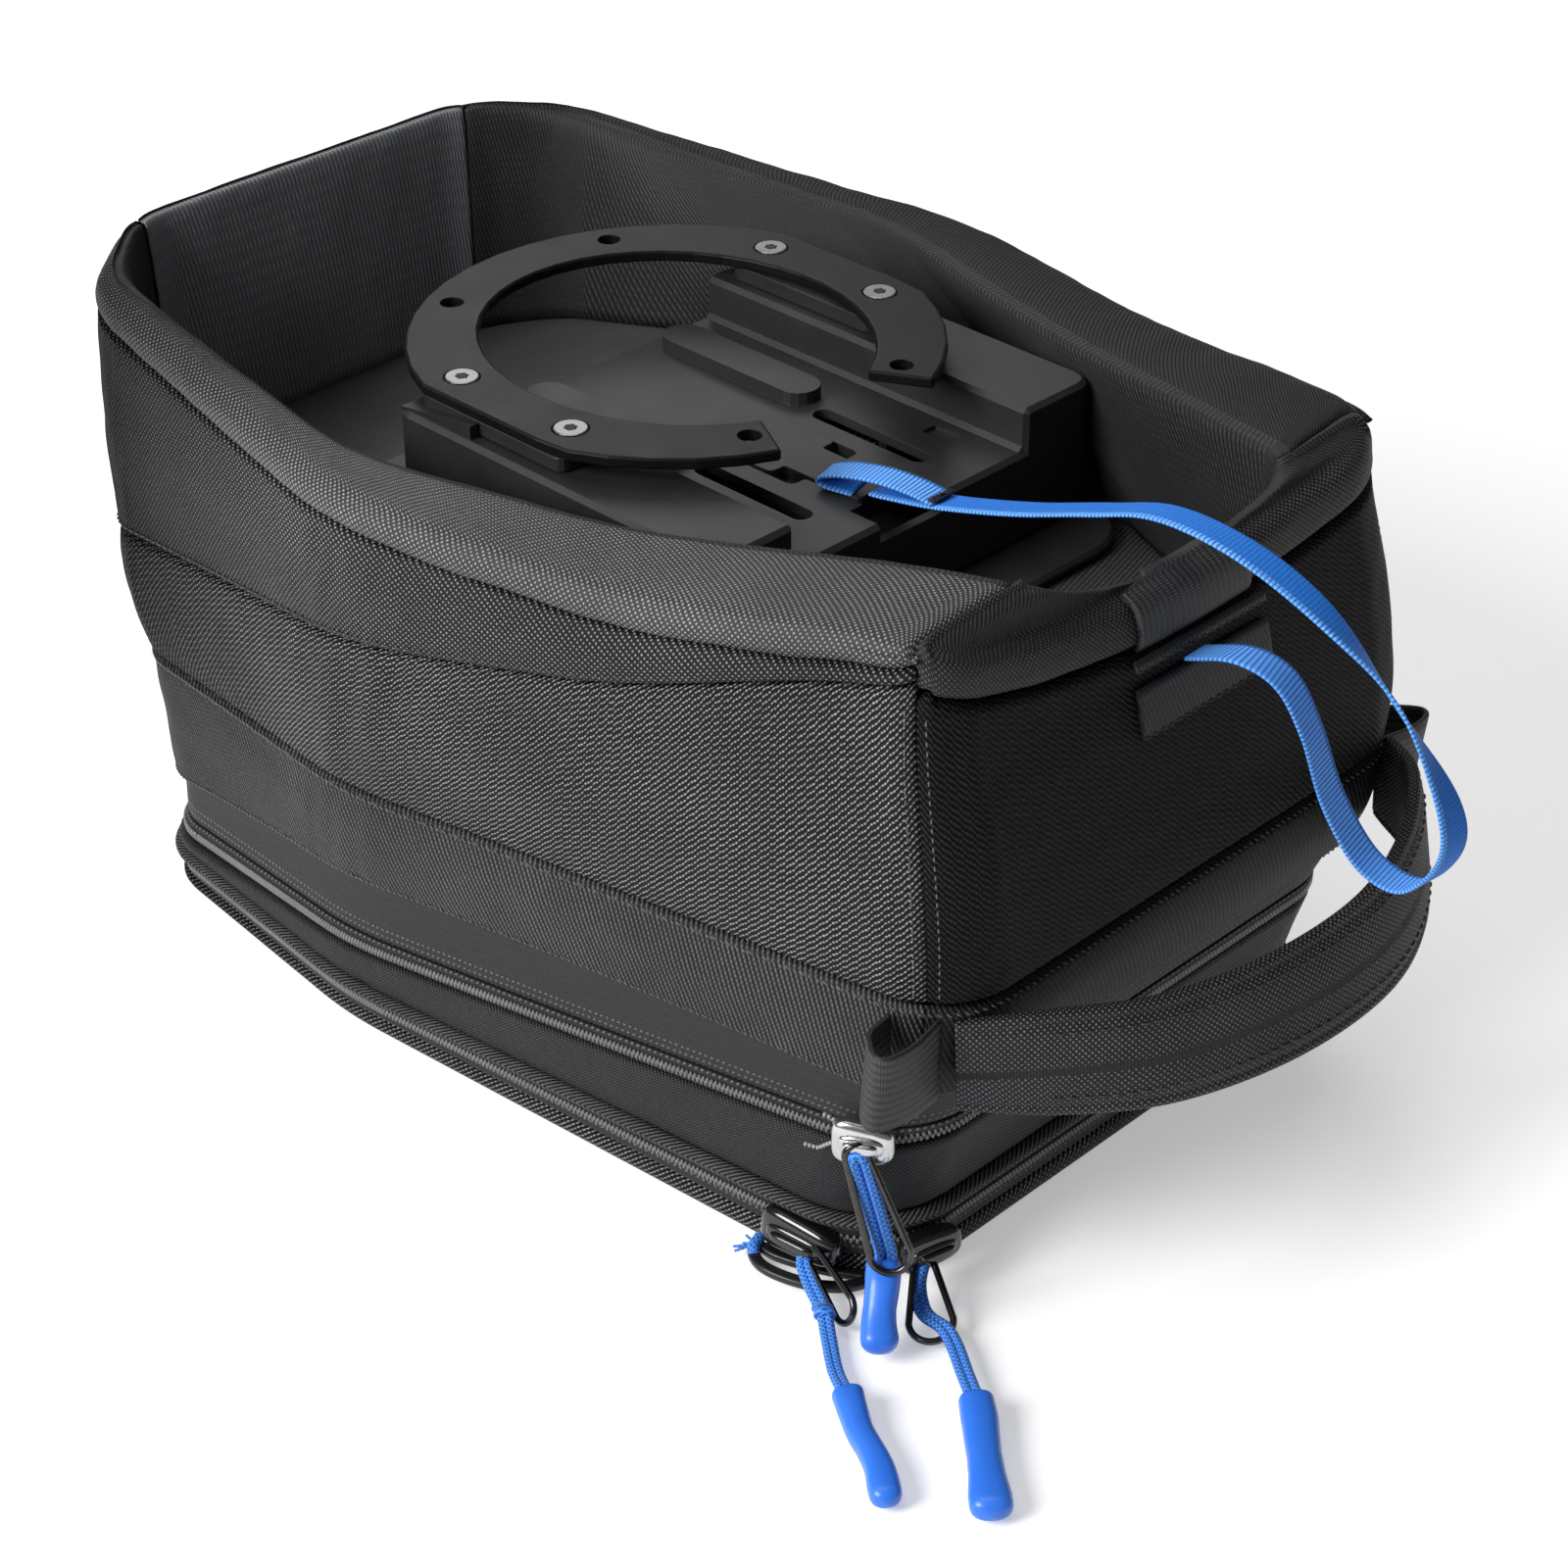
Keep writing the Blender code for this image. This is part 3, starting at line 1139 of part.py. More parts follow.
def place_slider(carrier, label, spot, along, out, finish, pull, drop=0.0):
    """Puts a slider on its body and its pull on a second body that turns on the slider. The wire's
    ends lie lower than the pivot by the drop."""
    slide_body = body(label + "_slider_body", spot)
    carry(carrier, slide_body)
    slider = build_slider(label + "_slider", spot, along, out, finish)
    carry_on(slide_body, slider)
    pivot = spot + out * (SLIDER_DEPTH * SLIDER_FLAT + WIRE_RADIUS + GAP)
    pull_body = body(label + "_pull_body", pivot)
    carry_on(slide_body, pull_body)
    wire_end, cord_end, tip, width, height = pull
    wire_start = pivot - Vector((0.0, 0.0, drop))
    carry_on(pull_body, *build_pull(label, wire_start, wire_end, cord_end, tip, width, height))
    print(label, "slider at", [round(v, 2) for v in spot], "along", [round(v, 4) for v in along],
          "pull pivot", [round(v, 2) for v in pivot])


def build_sliders():
    station = near_station(121.0)
    seat = LID_ZIP_INSET - 0.4
    spot, along, out = wall_spot(station, line_height(LID_ZIP_LINE, station), seat)
    place_slider(band_body, "left", spot, along, out, black_metal,
                 ((158.0, -113.5, 6.2), (177.0, -130.0, 5.2), (212.0, -150.0, 4.6), 10.0, 8.0))
    station = REAR_NEAR + CORNER_STEPS / 2 + 0.02
    spot, along, out = wall_spot(station, line_height(LID_ZIP_LINE, station), seat)
    place_slider(band_body, "rear", spot - along * SLIDER_LENGTH / 3, along, out, black_metal,
                 ((183.0, -96.5, 6.2), (202.0, -110.0, 5.2), (234.0, -133.0, 4.6), 10.0, 8.0))
    station = near_station(130.0)
    spot, along, out = wall_spot(station, line_height(EXPANSION_LINE, station), -0.4)
    place_slider(bag_body, "expansion", spot, along, out, nickel,
                 ((152.0, -107.5, 27.0), (158.0, -109.5, 21.0), (177.5, -121.0, 11.0), 9.0, 8.0), WIRE_PINCH)


build_sliders()
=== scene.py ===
import math

import bmesh
import bpy
import numpy as np
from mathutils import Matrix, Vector


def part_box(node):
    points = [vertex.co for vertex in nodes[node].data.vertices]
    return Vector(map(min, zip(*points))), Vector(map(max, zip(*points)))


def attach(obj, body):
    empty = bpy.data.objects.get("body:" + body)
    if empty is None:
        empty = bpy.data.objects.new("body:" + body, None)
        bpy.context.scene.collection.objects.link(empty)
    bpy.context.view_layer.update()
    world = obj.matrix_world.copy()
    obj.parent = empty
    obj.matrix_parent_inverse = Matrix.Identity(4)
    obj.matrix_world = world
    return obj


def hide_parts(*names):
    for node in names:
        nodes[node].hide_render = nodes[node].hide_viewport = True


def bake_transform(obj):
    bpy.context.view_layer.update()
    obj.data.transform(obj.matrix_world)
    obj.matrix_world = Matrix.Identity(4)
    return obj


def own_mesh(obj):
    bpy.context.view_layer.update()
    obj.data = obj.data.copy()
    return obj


# Looks of a tank bag that lies upside down on its lid. Sizes here are in millimetres, and mm turns them
# into metres. X runs from the narrow front to the handle end, Y across and Z up from the floor.

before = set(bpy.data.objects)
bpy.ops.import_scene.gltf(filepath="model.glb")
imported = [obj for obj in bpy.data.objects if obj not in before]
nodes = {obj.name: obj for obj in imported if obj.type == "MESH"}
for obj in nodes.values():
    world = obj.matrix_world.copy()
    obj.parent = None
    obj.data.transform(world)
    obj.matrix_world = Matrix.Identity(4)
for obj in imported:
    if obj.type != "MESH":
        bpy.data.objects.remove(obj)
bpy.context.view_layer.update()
mm = 0.001


# camera, at the photograph's angle

cameraPlace = dict(eye=(621.7, -603.9, 615.0), aim=(15.0, 13.5, 52.8), lens=77.9, sensor=36.0, reach=20.0)


def standAt(data, eye, aim):
    # a camera or lamp at a point in metres, turned to look at another
    thing = bpy.data.objects.new(data.name, data)
    thing.location = eye
    thing.rotation_euler = (Vector(aim) - Vector(eye)).to_track_quat("-Z", "Y").to_euler()
    bpy.context.scene.collection.objects.link(thing)
    return thing


def makeCamera(place):
    data = bpy.data.cameras.new("camera")
    data.lens = place["lens"]
    data.sensor_width = place["sensor"]
    data.clip_end = place["reach"]
    bpy.context.scene.camera = standAt(data, Vector(place["eye"]) * mm, Vector(place["aim"]) * mm)


makeCamera(cameraPlace)
print("camera placed")


# shape of the bag's wall in plan: x, half width and corner radius from front to handle end

wallPlan = dict(
    lid=[(-158.0, 60.0, 20.0), (-146.0, 103.0, 24.0), (-45.0, 113.0, 150.0), (157.0, 94.0, 30.0)],
    rim=[(-187.0, 66.0, 44.0), (-160.0, 99.0, 48.0), (-12.0, 128.0, 140.0), (181.0, 97.0, 18.0)],
    brim=[(-180.0, 63.6, 28.0), (-158.0, 86.0, 32.0), (-28.0, 103.0, 90.0), (160.0, 52.0, 10.0)],
    recess=[(-180.0, 63.6, 28.0), (-155.0, 82.0, 32.0), (88.0, 82.0, 20.0), (160.0, 52.0, 10.0)],
    rimHeight=197.0, frontLean=(50.0, 125.0), rearLean=(20.0, 105.0))
topLean = dict(heights=(112.0, 202.0), forward=9.0, near=2.0, far=6.0, farRadius=12.0, nearRise=9.0,
               farRise=4.0,
               riseFrom=50.0, riseTo=155.0)

# places round the bag run from 0 to 40, five for each corner, from the near front corner
wallRuns = dict(near=(2.0, 16.3), rear=(16.3, 22.7), far=(22.7, 37.0), front=(37.0, 42.0))
rearCorners = (17.0, 22.0)

# height of each seam at the front end, at the handle end, and its bow in between
seams = dict(lid=(5.0, 8.0, 0.0), lidZip=(8.0, 14.0, 0.0), ridgeFoot=(10.5, 18.5, 0.0),
             ridgeTop=(13.5, 23.0, 0.0), expansion=(18.5, 55.0, -2.0), hem=(34.0, 74.0, 7.5),
             lower=(79.0, 107.0, 3.0), upper=(112.0, 192.0, 0.0), crest=(202.0, 200.0, -7.0))
rimShape = dict(rows=64, step=1.2, fold=0.45, pucker=0.35, puckerPitch=3.4, frontFoot=17.0, liningFrom=0.67,
                rearRoll=13.0, rearDip=7.0)
recessFloor = dict(top=144.5, breakX=-98.0, frontDrop=22.0)


def unit(vectors):
    return vectors / np.maximum(np.linalg.norm(vectors, axis=-1, keepdims=True), 1e-9)


def smoothStep(value, start, end):
    share = np.clip((value - start) / (end - start), 0.0, 1.0)
    return share * share * (3.0 - 2.0 * share)


def bothSides(near):
    return [(x, -y, r) for x, y, r in near] + [(x, y, r) for x, y, r in reversed(near)]


def cornersAt(height):
    # every corner moves on a straight line from lid to rim, and both ends lean out along a smooth step. The
    # soft rim leans forward at the handle end, further on the far side.
    even = np.clip(height / wallPlan["rimHeight"], 0.0, 1.0)
    front = smoothStep(height, *wallPlan["frontLean"])
    rear = smoothStep(height, *wallPlan["rearLean"])
    lid, rim = (np.array(bothSides(wallPlan[name]))[..., None] for name in ("lid", "rim"))
    spot = lid + (rim - lid) * even
    shares = np.stack([front, front, even, rear, rear, even, front, front])
    spot[:, 0] = lid[:, 0] + (rim - lid)[:, 0] * shares
    share = smoothStep(height, *topLean["heights"])
    spot[3:5, 0] -= topLean["forward"] * share
    spot[3, 1] += topLean["near"] * share
    spot[4, 1] -= topLean["far"] * share
    spot[4, 2] += topLean["farRadius"] * share
    return np.moveaxis(spot, 1, 2)


def aroundCorners(corners, place):
    # corners is (8, n, 3). A place runs along each corner's arc for 4 fifths of the corner's share and along
    # the straight after it for the last fifth. Gives points and outward normals.
    count = len(corners)
    rows = np.arange(corners.shape[1])
    corner = np.floor(place / 5.0).astype(int) % count
    part = place % 5.0

    def arc(k):
        here, before, after = (corners[(k + step) % count, rows] for step in (0, -1, 1))
        back = unit(before[:, :2] - here[:, :2])
        on = unit(after[:, :2] - here[:, :2])
        half = np.arccos(np.clip((back * on).sum(1), -1.0, 1.0)) / 2.0
        centre = here[:, :2] + unit(back + on) * (here[:, 2] / np.sin(half))[:, None]
        reach = (here[:, 2] / np.tan(half))[:, None]
        sweep = np.pi - 2.0 * half
        return here[:, :2] + back * reach, here[:, :2] + on * reach, centre, on, sweep, here[:, 2]

    start, end, centre, on, sweep, radius = arc(corner)
    following = arc((corner + 1) % count)[0]
    angle = sweep * np.clip(part / 4.0, 0.0, 1.0)
    spoke = (start - centre) / radius[:, None]
    turned = np.stack([spoke[:, 0] * np.cos(angle) - spoke[:, 1] * np.sin(angle),
                       spoke[:, 0] * np.sin(angle) + spoke[:, 1] * np.cos(angle)], -1)
    straight = end + (following - end) * np.clip(part - 4.0, 0.0, 1.0)[:, None]
    onArc = (part <= 4.0)[:, None]
    point = np.where(onArc, centre + turned * radius[:, None], straight)
    return point, np.where(onArc, turned, np.stack([on[:, 1], -on[:, 0]], -1))


def wall(place, height, inset=0.0):
    # point of the wall at a place round the bag and a height, moved in along the plan's normal
    place, height, inset = np.broadcast_arrays(np.asarray(place, float), height, inset)
    flat = height.ravel().astype(float)
    point, normal = aroundCorners(cornersAt(flat), place.ravel())
    point = point - normal * inset.ravel()[:, None]
    return np.concatenate([point, flat[:, None]], 1).reshape(*place.shape, 3)


def outOfWall(place, height, depth=0.0):
    return wall(place, height, depth) - wall(place, height, depth + 1.0)


def ringPlan(name, place):
    corners = np.array(bothSides(wallPlan[name]))[:, None, :].repeat(len(place), 1)
    return aroundCorners(corners, place)[0]


def shareAlong(place):
    first, last = wallPlan["rim"][0][0], wallPlan["rim"][3][0]
    return np.clip((wall(place, wallPlan["rimHeight"] / 2)[..., 0] - first) / (last - first), 0.0, 1.0)


def seamHeight(name, place, lift=0.0):
    # a straight line from end to end plus a parabola
    front, rear, bow = seams[name]
    share = shareAlong(place)
    return front + (rear - front) * share + bow * 4.0 * share * (1.0 - share) + lift


def seamLine(name, lift=0.0):
    return lambda places: seamHeight(name, places, lift)


def onRear(place):
    return (place > rearCorners[0]) & (place < rearCorners[1])


def cornerRise(place):
    # the rim's two corners at the handle end stand up: a smooth step in x on the sides, y squared on the rear
    point = wall(place, wallPlan["rimHeight"] / 2)
    across = np.clip(np.abs(point[..., 1]) / wallPlan["lid"][3][1], 0.0, 1.0)
    tall = np.where(point[..., 1] < 0.0, topLean["nearRise"], topLean["farRise"])
    return tall * np.where(onRear(place), across * across,
                           smoothStep(point[..., 0], topLean["riseFrom"], topLean["riseTo"]))


def crestHeight(place):
    across = wall(place, wallPlan["rimHeight"])[..., 1] / wallPlan["rim"][3][1]
    dip = np.where(onRear(place), rimShape["rearDip"] * (1.0 - across * across), 0.0)
    return seamHeight("crest", place) - dip + cornerRise(place)


def upperSeam(place):
    return seamHeight("upper", place) + cornerRise(place)


rollFoot = dict(near=upperSeam, far=upperSeam, rear=lambda place: crestHeight(place) - rimShape["rearRoll"],
                front=lambda place: crestHeight(place) - rimShape["frontFoot"])


def rimCrease(place, side):
    # the groove between the rim's outer band and its padded roll. The rear has no band.
    foot = rollFoot[side](place)
    crest = crestHeight(place)
    return foot + 0.6 if side == "rear" else np.maximum(crest - 10.0, foot + (crest - foot) * 0.4)


def runOf(points):
    # length along a line of points, from 0
    return np.concatenate([[0.0], np.cumsum(np.linalg.norm(np.diff(points, axis=0), axis=1))])


def evenPlaces(first, last, step, height=100.0):
    # places at even steps of length along the wall
    fine = np.linspace(first, last, 1600)
    run = runOf(wall(fine, height))
    count = max(int(round(run[-1] / step)), 2)
    return np.interp(np.linspace(0.0, run[-1], count + 1), run, fine)


def ringPlaces(step):
    return evenPlaces(0.0, 40.0, step)[:-1]


# lines and rings of points

def spline(knots, count):
    # a Catmull-Rom curve through knots (..., k, 3): even parameter steps along the second last axis
    knots = np.asarray(knots, float)
    ends = np.concatenate([knots[..., :1, :] * 2 - knots[..., 1:2, :], knots,
                           knots[..., -1:, :] * 2 - knots[..., -2:-1, :]], -2)
    spans = knots.shape[-2] - 1
    place = np.linspace(0.0, spans, count)
    span = np.minimum(place.astype(int), spans - 1)
    t = (place - span)[:, None]
    a, b, c, d = (ends[..., span + k, :] for k in range(4))
    square = 2 * a - 5 * b + 4 * c - d
    return 0.5 * (2 * b + (c - a) * t + square * t * t + (3 * b - a - 3 * c + d) * t ** 3)


def evenPath(points, step):
    fine = spline(points, 800)
    run = runOf(fine)
    places = np.linspace(0.0, run[-1], max(int(run[-1] / step), 2) + 1)
    return np.stack([np.interp(places, run, fine[:, k]) for k in range(3)], -1)


def raised(wave, power):
    return np.sign(wave) * np.abs(wave) ** power


def circle(sides, flat=1.0, tall=1.0):
    # cosine and sine round a circle, each raised to a power that squares it up
    turn = np.linspace(0.0, math.tau, sides, endpoint=False)
    return raised(np.cos(turn), flat), raised(np.sin(turn), tall)


def around(middle, side, rise, c, s):
    # a ring of points round each middle: middle + side * c + rise * s
    return middle[:, None] + side[:, None] * c[:, None] + rise[:, None] * s[:, None]


def softNoise(place, height, size, seed):
    # gentle folds: a sum of eight sine waves with chosen directions, each with its own length and phase
    waves = np.random.default_rng(seed)
    total = np.zeros(np.broadcast(place, height).shape)
    for wave in range(8):
        angle = waves.uniform(0.0, math.pi)
        length = size * waves.uniform(0.6, 1.8)
        total = total + np.sin((place * math.cos(angle) + height * math.sin(angle)) * math.tau / length
                               + waves.uniform(0.0, math.tau))
    return total / 8.0


# meshes

def gridFaces(rows, columns, closedRows, closedColumns, offset=0):
    r = np.arange(rows if closedRows else rows - 1)
    c = np.arange(columns if closedColumns else columns - 1)
    here, side = np.meshgrid(r, c, indexing="ij")
    there = (here + 1) % rows
    beside = (side + 1) % columns
    quads = np.stack([here * columns + side, there * columns + side, there * columns + beside,
                      here * columns + beside], -1)
    return (quads.reshape(-1, 4) + offset).tolist()


def tubeFaces(rows, columns):
    # a closed section carried along a run, with a face at each end
    return gridFaces(rows, columns, False, True) + [list(range(columns)),
                                                    [(rows - 1) * columns + k for k in range(columns)]]


def addPiece(name, points, faces, finishName, body, *stood, uvs=None, second=None):
    # a mesh with outward faces that takes its finish, rides on a body and stands for CAD nodes.
    # second is another finish with the faces that have it.
    finish, slot = finishes[finishName]
    mesh = bpy.data.meshes.new(name)
    mesh.from_pydata((np.asarray(points).reshape(-1, 3) * mm).tolist(), [], faces)
    if uvs is not None:
        layer = mesh.uv_layers.new(name="cloth")
        corner = np.empty(len(mesh.loops), np.int32)
        mesh.loops.foreach_get("vertex_index", corner)
        layer.data.foreach_set("uv", np.asarray(uvs, np.float32)[corner].ravel())
    mesh.shade_smooth()
    mesh.materials.append(finish)
    if second:
        mesh.materials.append(finishes[second[0]][0])
        mesh.polygons.foreach_set("material_index", second[1])
    shell = bmesh.new()
    shell.from_mesh(mesh)
    bmesh.ops.remove_doubles(shell, verts=shell.verts, dist=1e-6)
    bmesh.ops.recalc_face_normals(shell, faces=shell.faces)
    if shell.calc_volume(signed=True) < 0.0:
        bmesh.ops.reverse_faces(shell, faces=shell.faces)
    shell.to_mesh(mesh)
    shell.free()
    piece = bpy.data.objects.new(name, mesh)
    bpy.context.scene.collection.objects.link(piece)
    if body:
        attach(piece, body)
    if stood:
        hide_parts(*stood)
    return piece


def clothCoordinates(points):
    # metres along the run and metres along the section, measured on the surface itself
    along = np.zeros(points.shape[:2])
    across = np.zeros(points.shape[:2])
    along[:] = runOf(points[:, points.shape[1] // 4])[:, None]
    across[:, 1:] = np.cumsum(np.linalg.norm(np.diff(points, axis=1), axis=2), axis=1)
    return np.stack([along, across], -1).reshape(-1, 2) * mm


def sweptCloth(name, sections, finishName, body, *stood, closedRun=False, second=None):
    # sections is (stations, points round the section, 3). A closed run ends on its first section again.
    if closedRun:
        sections = np.concatenate([sections, sections[:1]], 0)
    rows, columns = sections.shape[:2]
    faces = gridFaces(rows, columns, False, True) if closedRun else tubeFaces(rows, columns)
    return addPiece(name, sections, faces, finishName, body, *stood, uvs=clothCoordinates(sections),
                    second=second)


def smallPieces(name, body, rings, finishName):
    # many little closed bodies in one mesh: rings is a list of (bodies, points round, 3)
    points = np.stack(rings, 1)
    count, rows, sides = points.shape[:3]
    faces = [[v + k * rows * sides for v in face] for k in range(count) for face in tubeFaces(rows, sides)]
    return addPiece(name, points, faces, finishName, body)


def tapeAlong(name, path, across, width, thick, finishName, body, *stood):
    # a flat tape: a rounded flat section on a path, with its width towards the given directions
    along = unit(np.gradient(path, axis=0))
    side = unit(across - along * (across * along).sum(1, keepdims=True))
    rise = np.cross(along, side)
    half = width / 2 - thick / 2
    ring = []
    for sign in (1.0, -1.0):
        for angle in np.linspace(-math.pi / 2, math.pi / 2, 6):
            ring.append(path + side * sign * (half + thick / 2 * math.cos(angle))
                        + rise * sign * thick / 2 * math.sin(angle))
        for share in np.linspace(0.8, -0.8, 7):
            ring.append(path + side * sign * half * share + rise * sign * thick / 2)
    return sweptCloth(name, np.stack(ring, 1), finishName, body, *stood)


def tubeAlong(name, path, radius, sides, finishName, body, *stood):
    # a round section carried along a path without twist
    along = unit(np.gradient(path, axis=0))
    sideways = np.empty_like(path)
    side = np.cross(along[0], (0.0, 0.0, 1.0))
    if np.linalg.norm(side) < 0.1:
        side = np.cross(along[0], (1.0, 0.0, 0.0))
    for place in range(len(path)):
        side = unit(side - along[place] * side.dot(along[place]))
        sideways[place] = side
    ring = around(path, radius * sideways, radius * np.cross(along, sideways), *circle(sides))
    return sweptCloth(name, ring, finishName, body, *stood)


# finishes: each is a Principled shader fed by sums of node values

class Shade:
    # a value in a material's node graph. Each sum, product or comparison adds one Math node.
    def __init__(self, socket):
        self.socket = socket

    def step(self, operation, *others):
        node = self.socket.id_data.nodes.new("ShaderNodeMath")
        node.operation = operation
        for socket, value in zip(node.inputs, (self, *others)):
            feed(socket, value)
        return Shade(node.outputs[0])

    def __add__(self, other):
        return self.step("ADD", other)

    def __mul__(self, other):
        return self.step("MULTIPLY", other)

    def __gt__(self, other):
        return self.step("GREATER_THAN", other)

    def __lt__(self, other):
        return self.step("LESS_THAN", other)


def feed(socket, value):
    # a plain value is set on the socket itself, and a Shade is linked to it
    if isinstance(value, Shade):
        socket.id_data.links.new(value.socket, socket)
    else:
        socket.default_value = value


def newNode(tree, kind, **inputs):
    node = tree.nodes.new(kind)
    for name, value in inputs.items():
        feed(node.inputs[name], value)
    return node


def newFinish(name, colour, roughness, metallic=0.0, coat=0.0, gloss=0.5, sheen=0.0):
    finish = bpy.data.materials.new(name)
    finish.use_nodes = True
    shader = finish.node_tree.nodes["Principled BSDF"].inputs
    shader["Base Color"].default_value = (*colour, 1.0)
    shader["Roughness"].default_value = roughness
    shader["Metallic"].default_value = metallic
    shader["Specular IOR Level"].default_value = gloss
    if sheen:
        shader["Sheen Weight"].default_value = sheen
        shader["Sheen Roughness"].default_value = 0.45
    if coat:
        shader["Coat Weight"].default_value = coat
        shader["Coat Roughness"].default_value = 0.12
    return finish, finish.node_tree, shader


def clothPlace(tree):
    # the two surface coordinates in millimetres: along the cloth and up it
    uv = newNode(tree, "ShaderNodeUVMap")
    uv.uv_map = "cloth"
    split = newNode(tree, "ShaderNodeSeparateXYZ", Vector=Shade(uv.outputs[0]))
    return Shade(split.outputs[0]) * 1000.0, Shade(split.outputs[1]) * 1000.0


def wave(value, pitch):
    # sine of a length over its pitch, from 0 to 1
    return (value * (math.tau / pitch)).step("SINE") * 0.5 + 0.5


def specks(tree, size, detail=2.0):
    # noise on the object's own coordinates, size in millimetres
    place = Shade(newNode(tree, "ShaderNodeTexCoord").outputs["Object"])
    noise = newNode(tree, "ShaderNodeTexNoise", Scale=1000.0 / size, Detail=detail, Roughness=0.6,
                    Vector=place)
    return Shade(noise.outputs[0])


def grey(value, tint=(1.0, 1.0, 1.0)):
    return tuple(value * part for part in tint)


def ramp(tree, value, stops):
    node = newNode(tree, "ShaderNodeValToRGB")
    feed(node.inputs[0], value)
    elements = node.color_ramp.elements
    while len(elements) < len(stops):
        elements.new(0.5)
    for element, (place, colour) in zip(elements, stops):
        element.position = place
        element.color = (*colour, 1.0)
    return Shade(node.outputs[0])


def relief(tree, shader, height, distance):
    bump = newNode(tree, "ShaderNodeBump", Strength=1.0, Distance=distance * mm, Height=height)
    feed(shader["Normal"], Shade(bump.outputs[0]))


def paintShadeToFront(tree, colour, front):
    # painted shade: the tone's share falls from 1 to front between x = -32 and -162 mm, where the front faces
    # away from the key light: front + (1 - front) * reach
    place = newNode(tree, "ShaderNodeTexCoord").outputs["Object"]
    split = newNode(tree, "ShaderNodeSeparateXYZ", Vector=Shade(place))
    reach = (Shade(split.outputs[0]) * (1000.0 / 130.0) + 1.25).step("MAXIMUM", 0.0).step("MINIMUM", 1.0)
    share = reach * (1.0 - front) + front
    scaled = newNode(tree, "ShaderNodeVectorMath")
    scaled.operation = "SCALE"
    feed(scaled.inputs[0], colour)
    feed(scaled.inputs["Scale"], share)
    return Shade(scaled.outputs[0]), share


def makeWoven(name, dark, light, pitch, lean, dotPitch, dotShare, bumpDepth, tint=(1.0, 1.0, 1.02),
              turnAt=None, gloss=0.5, front=1.0, cloudy=0.26, stops=(0.30, 0.50, 0.72, 0.92)):
    # woven nylon: ribs on a diagonal, broken into dots by a second diagonal, with soft cloudy variation. The
    # ribs' light tone is partly the threads' own tone and partly painted sheen highlight.
    # A rib is a sine of (along + lean * up) over the pitch, and past turnAt the lean turns round. The tone
    # falls to its front share towards the bag's front as painted shade, and the gloss with it.
    finish, tree, shader = newFinish(name, grey(dark, tint), 0.62, gloss=gloss)
    along, up = clothPlace(tree)
    slant = up * ((up > turnAt) * (-2.0 * lean) + lean if turnAt else lean)
    drift = specks(tree, 60.0, 1.0) * 1.8
    dots = wave(slant * -1.0 + along + drift, dotPitch)
    thread = wave(slant + along + drift, pitch) * (dots * dotShare + (1.0 - dotShare))
    cloud = specks(tree, 45.0) * cloudy + (0.13 - cloudy / 2.0)
    tone = thread * 0.62 + specks(tree, 1.1) * 0.28 + cloud
    # the light stops are partly the threads' own tone and partly painted sheen highlight
    shades = (grey(dark * 0.3, tint), grey(dark, tint), grey(light * 0.45, tint), grey(light, tint))
    colour = ramp(tree, tone, list(zip(stops, shades)))
    # painted shade: the colour and gloss darken towards the bag's front
    if front < 1.0:
        colour, share = paintShadeToFront(tree, colour, front)
        feed(shader["Specular IOR Level"], share * gloss)
    feed(shader["Base Color"], colour)
    relief(tree, shader, thread, bumpDepth)
    return finish


def makeTape(name, dark, light, tint=(1.0, 1.0, 1.02)):
    # zip tape: fine herringbone with a row of stitch dots along each edge of the tape
    finish, tree, shader = newFinish(name, grey(dark, tint), 0.7)
    along, up = clothPlace(tree)
    ribs = wave(up * ((wave(up, 3.4) > 0.5) * 2.0 + -1.0) + along, 0.9)
    stitch = (wave(along, 2.1) > 0.62) * ((wave(up, 2.6) > 0.80) * (up < 7.5))
    tone = ribs * 0.35 + specks(tree, 0.8) * 0.4 + stitch * 0.45
    shades = [(0.2, grey(dark * 0.5, tint)), (0.55, grey(dark, tint)), (1.0, grey(light, tint))]
    feed(shader["Base Color"], ramp(tree, tone, shades))
    relief(tree, shader, ribs + stitch * 1.5, 0.12)
    return finish


def makeWebbing(name, dark, light, pitch, tint=(1.0, 1.0, 1.0), edge=None, width=10.0, gloss=0.5,
                lengthways=False):
    # woven strap: ribs across it or along it, broken by fine lines the other way, and a pale picot edge where
    # one is asked for
    finish, tree, shader = newFinish(name, grey(dark, tint), 0.6, gloss=gloss)
    along, up = clothPlace(tree)
    first, second = (up, along) if lengthways else (along, up)
    tone = wave(first, pitch) * wave(second, 0.8) * 0.65 + specks(tree, 0.9) * 0.35
    colour = ramp(tree, tone, [(0.15, grey(dark, tint)), (0.9, grey(light, tint))])
    if edge:
        away = (up + -width / 2).step("ABSOLUTE")
        blend = newNode(tree, "ShaderNodeMix")
        blend.data_type = "RGBA"
        feed(blend.inputs[0], (away > width / 2 - 0.7) * (wave(along, 1.3) > 0.4))
        feed(blend.inputs[6], colour)
        feed(blend.inputs[7], (*edge, 1.0))
        colour = Shade(blend.outputs[2])
    feed(shader["Base Color"], colour)
    relief(tree, shader, tone, 0.25)
    return finish


def makeGrained(name, colour, rough, grain, depth, metallic=0.0, coat=0.0, spread=0.25, gloss=0.5):
    # moulded or coated surface: a fine grain, with patchy roughness
    finish, tree, shader = newFinish(name, colour, rough, metallic, coat, gloss)
    fine = specks(tree, grain, 3.0)
    wide = specks(tree, grain * 25.0)
    shades = [(0.3, grey(1.0 - spread, colour)), (0.7, grey(1.0 + spread, colour))]
    feed(shader["Base Color"], ramp(tree, fine * 0.4 + wide * 0.6, shades))
    feed(shader["Roughness"], wide * 0.16 + (rough - 0.08))
    relief(tree, shader, fine, depth)
    return finish


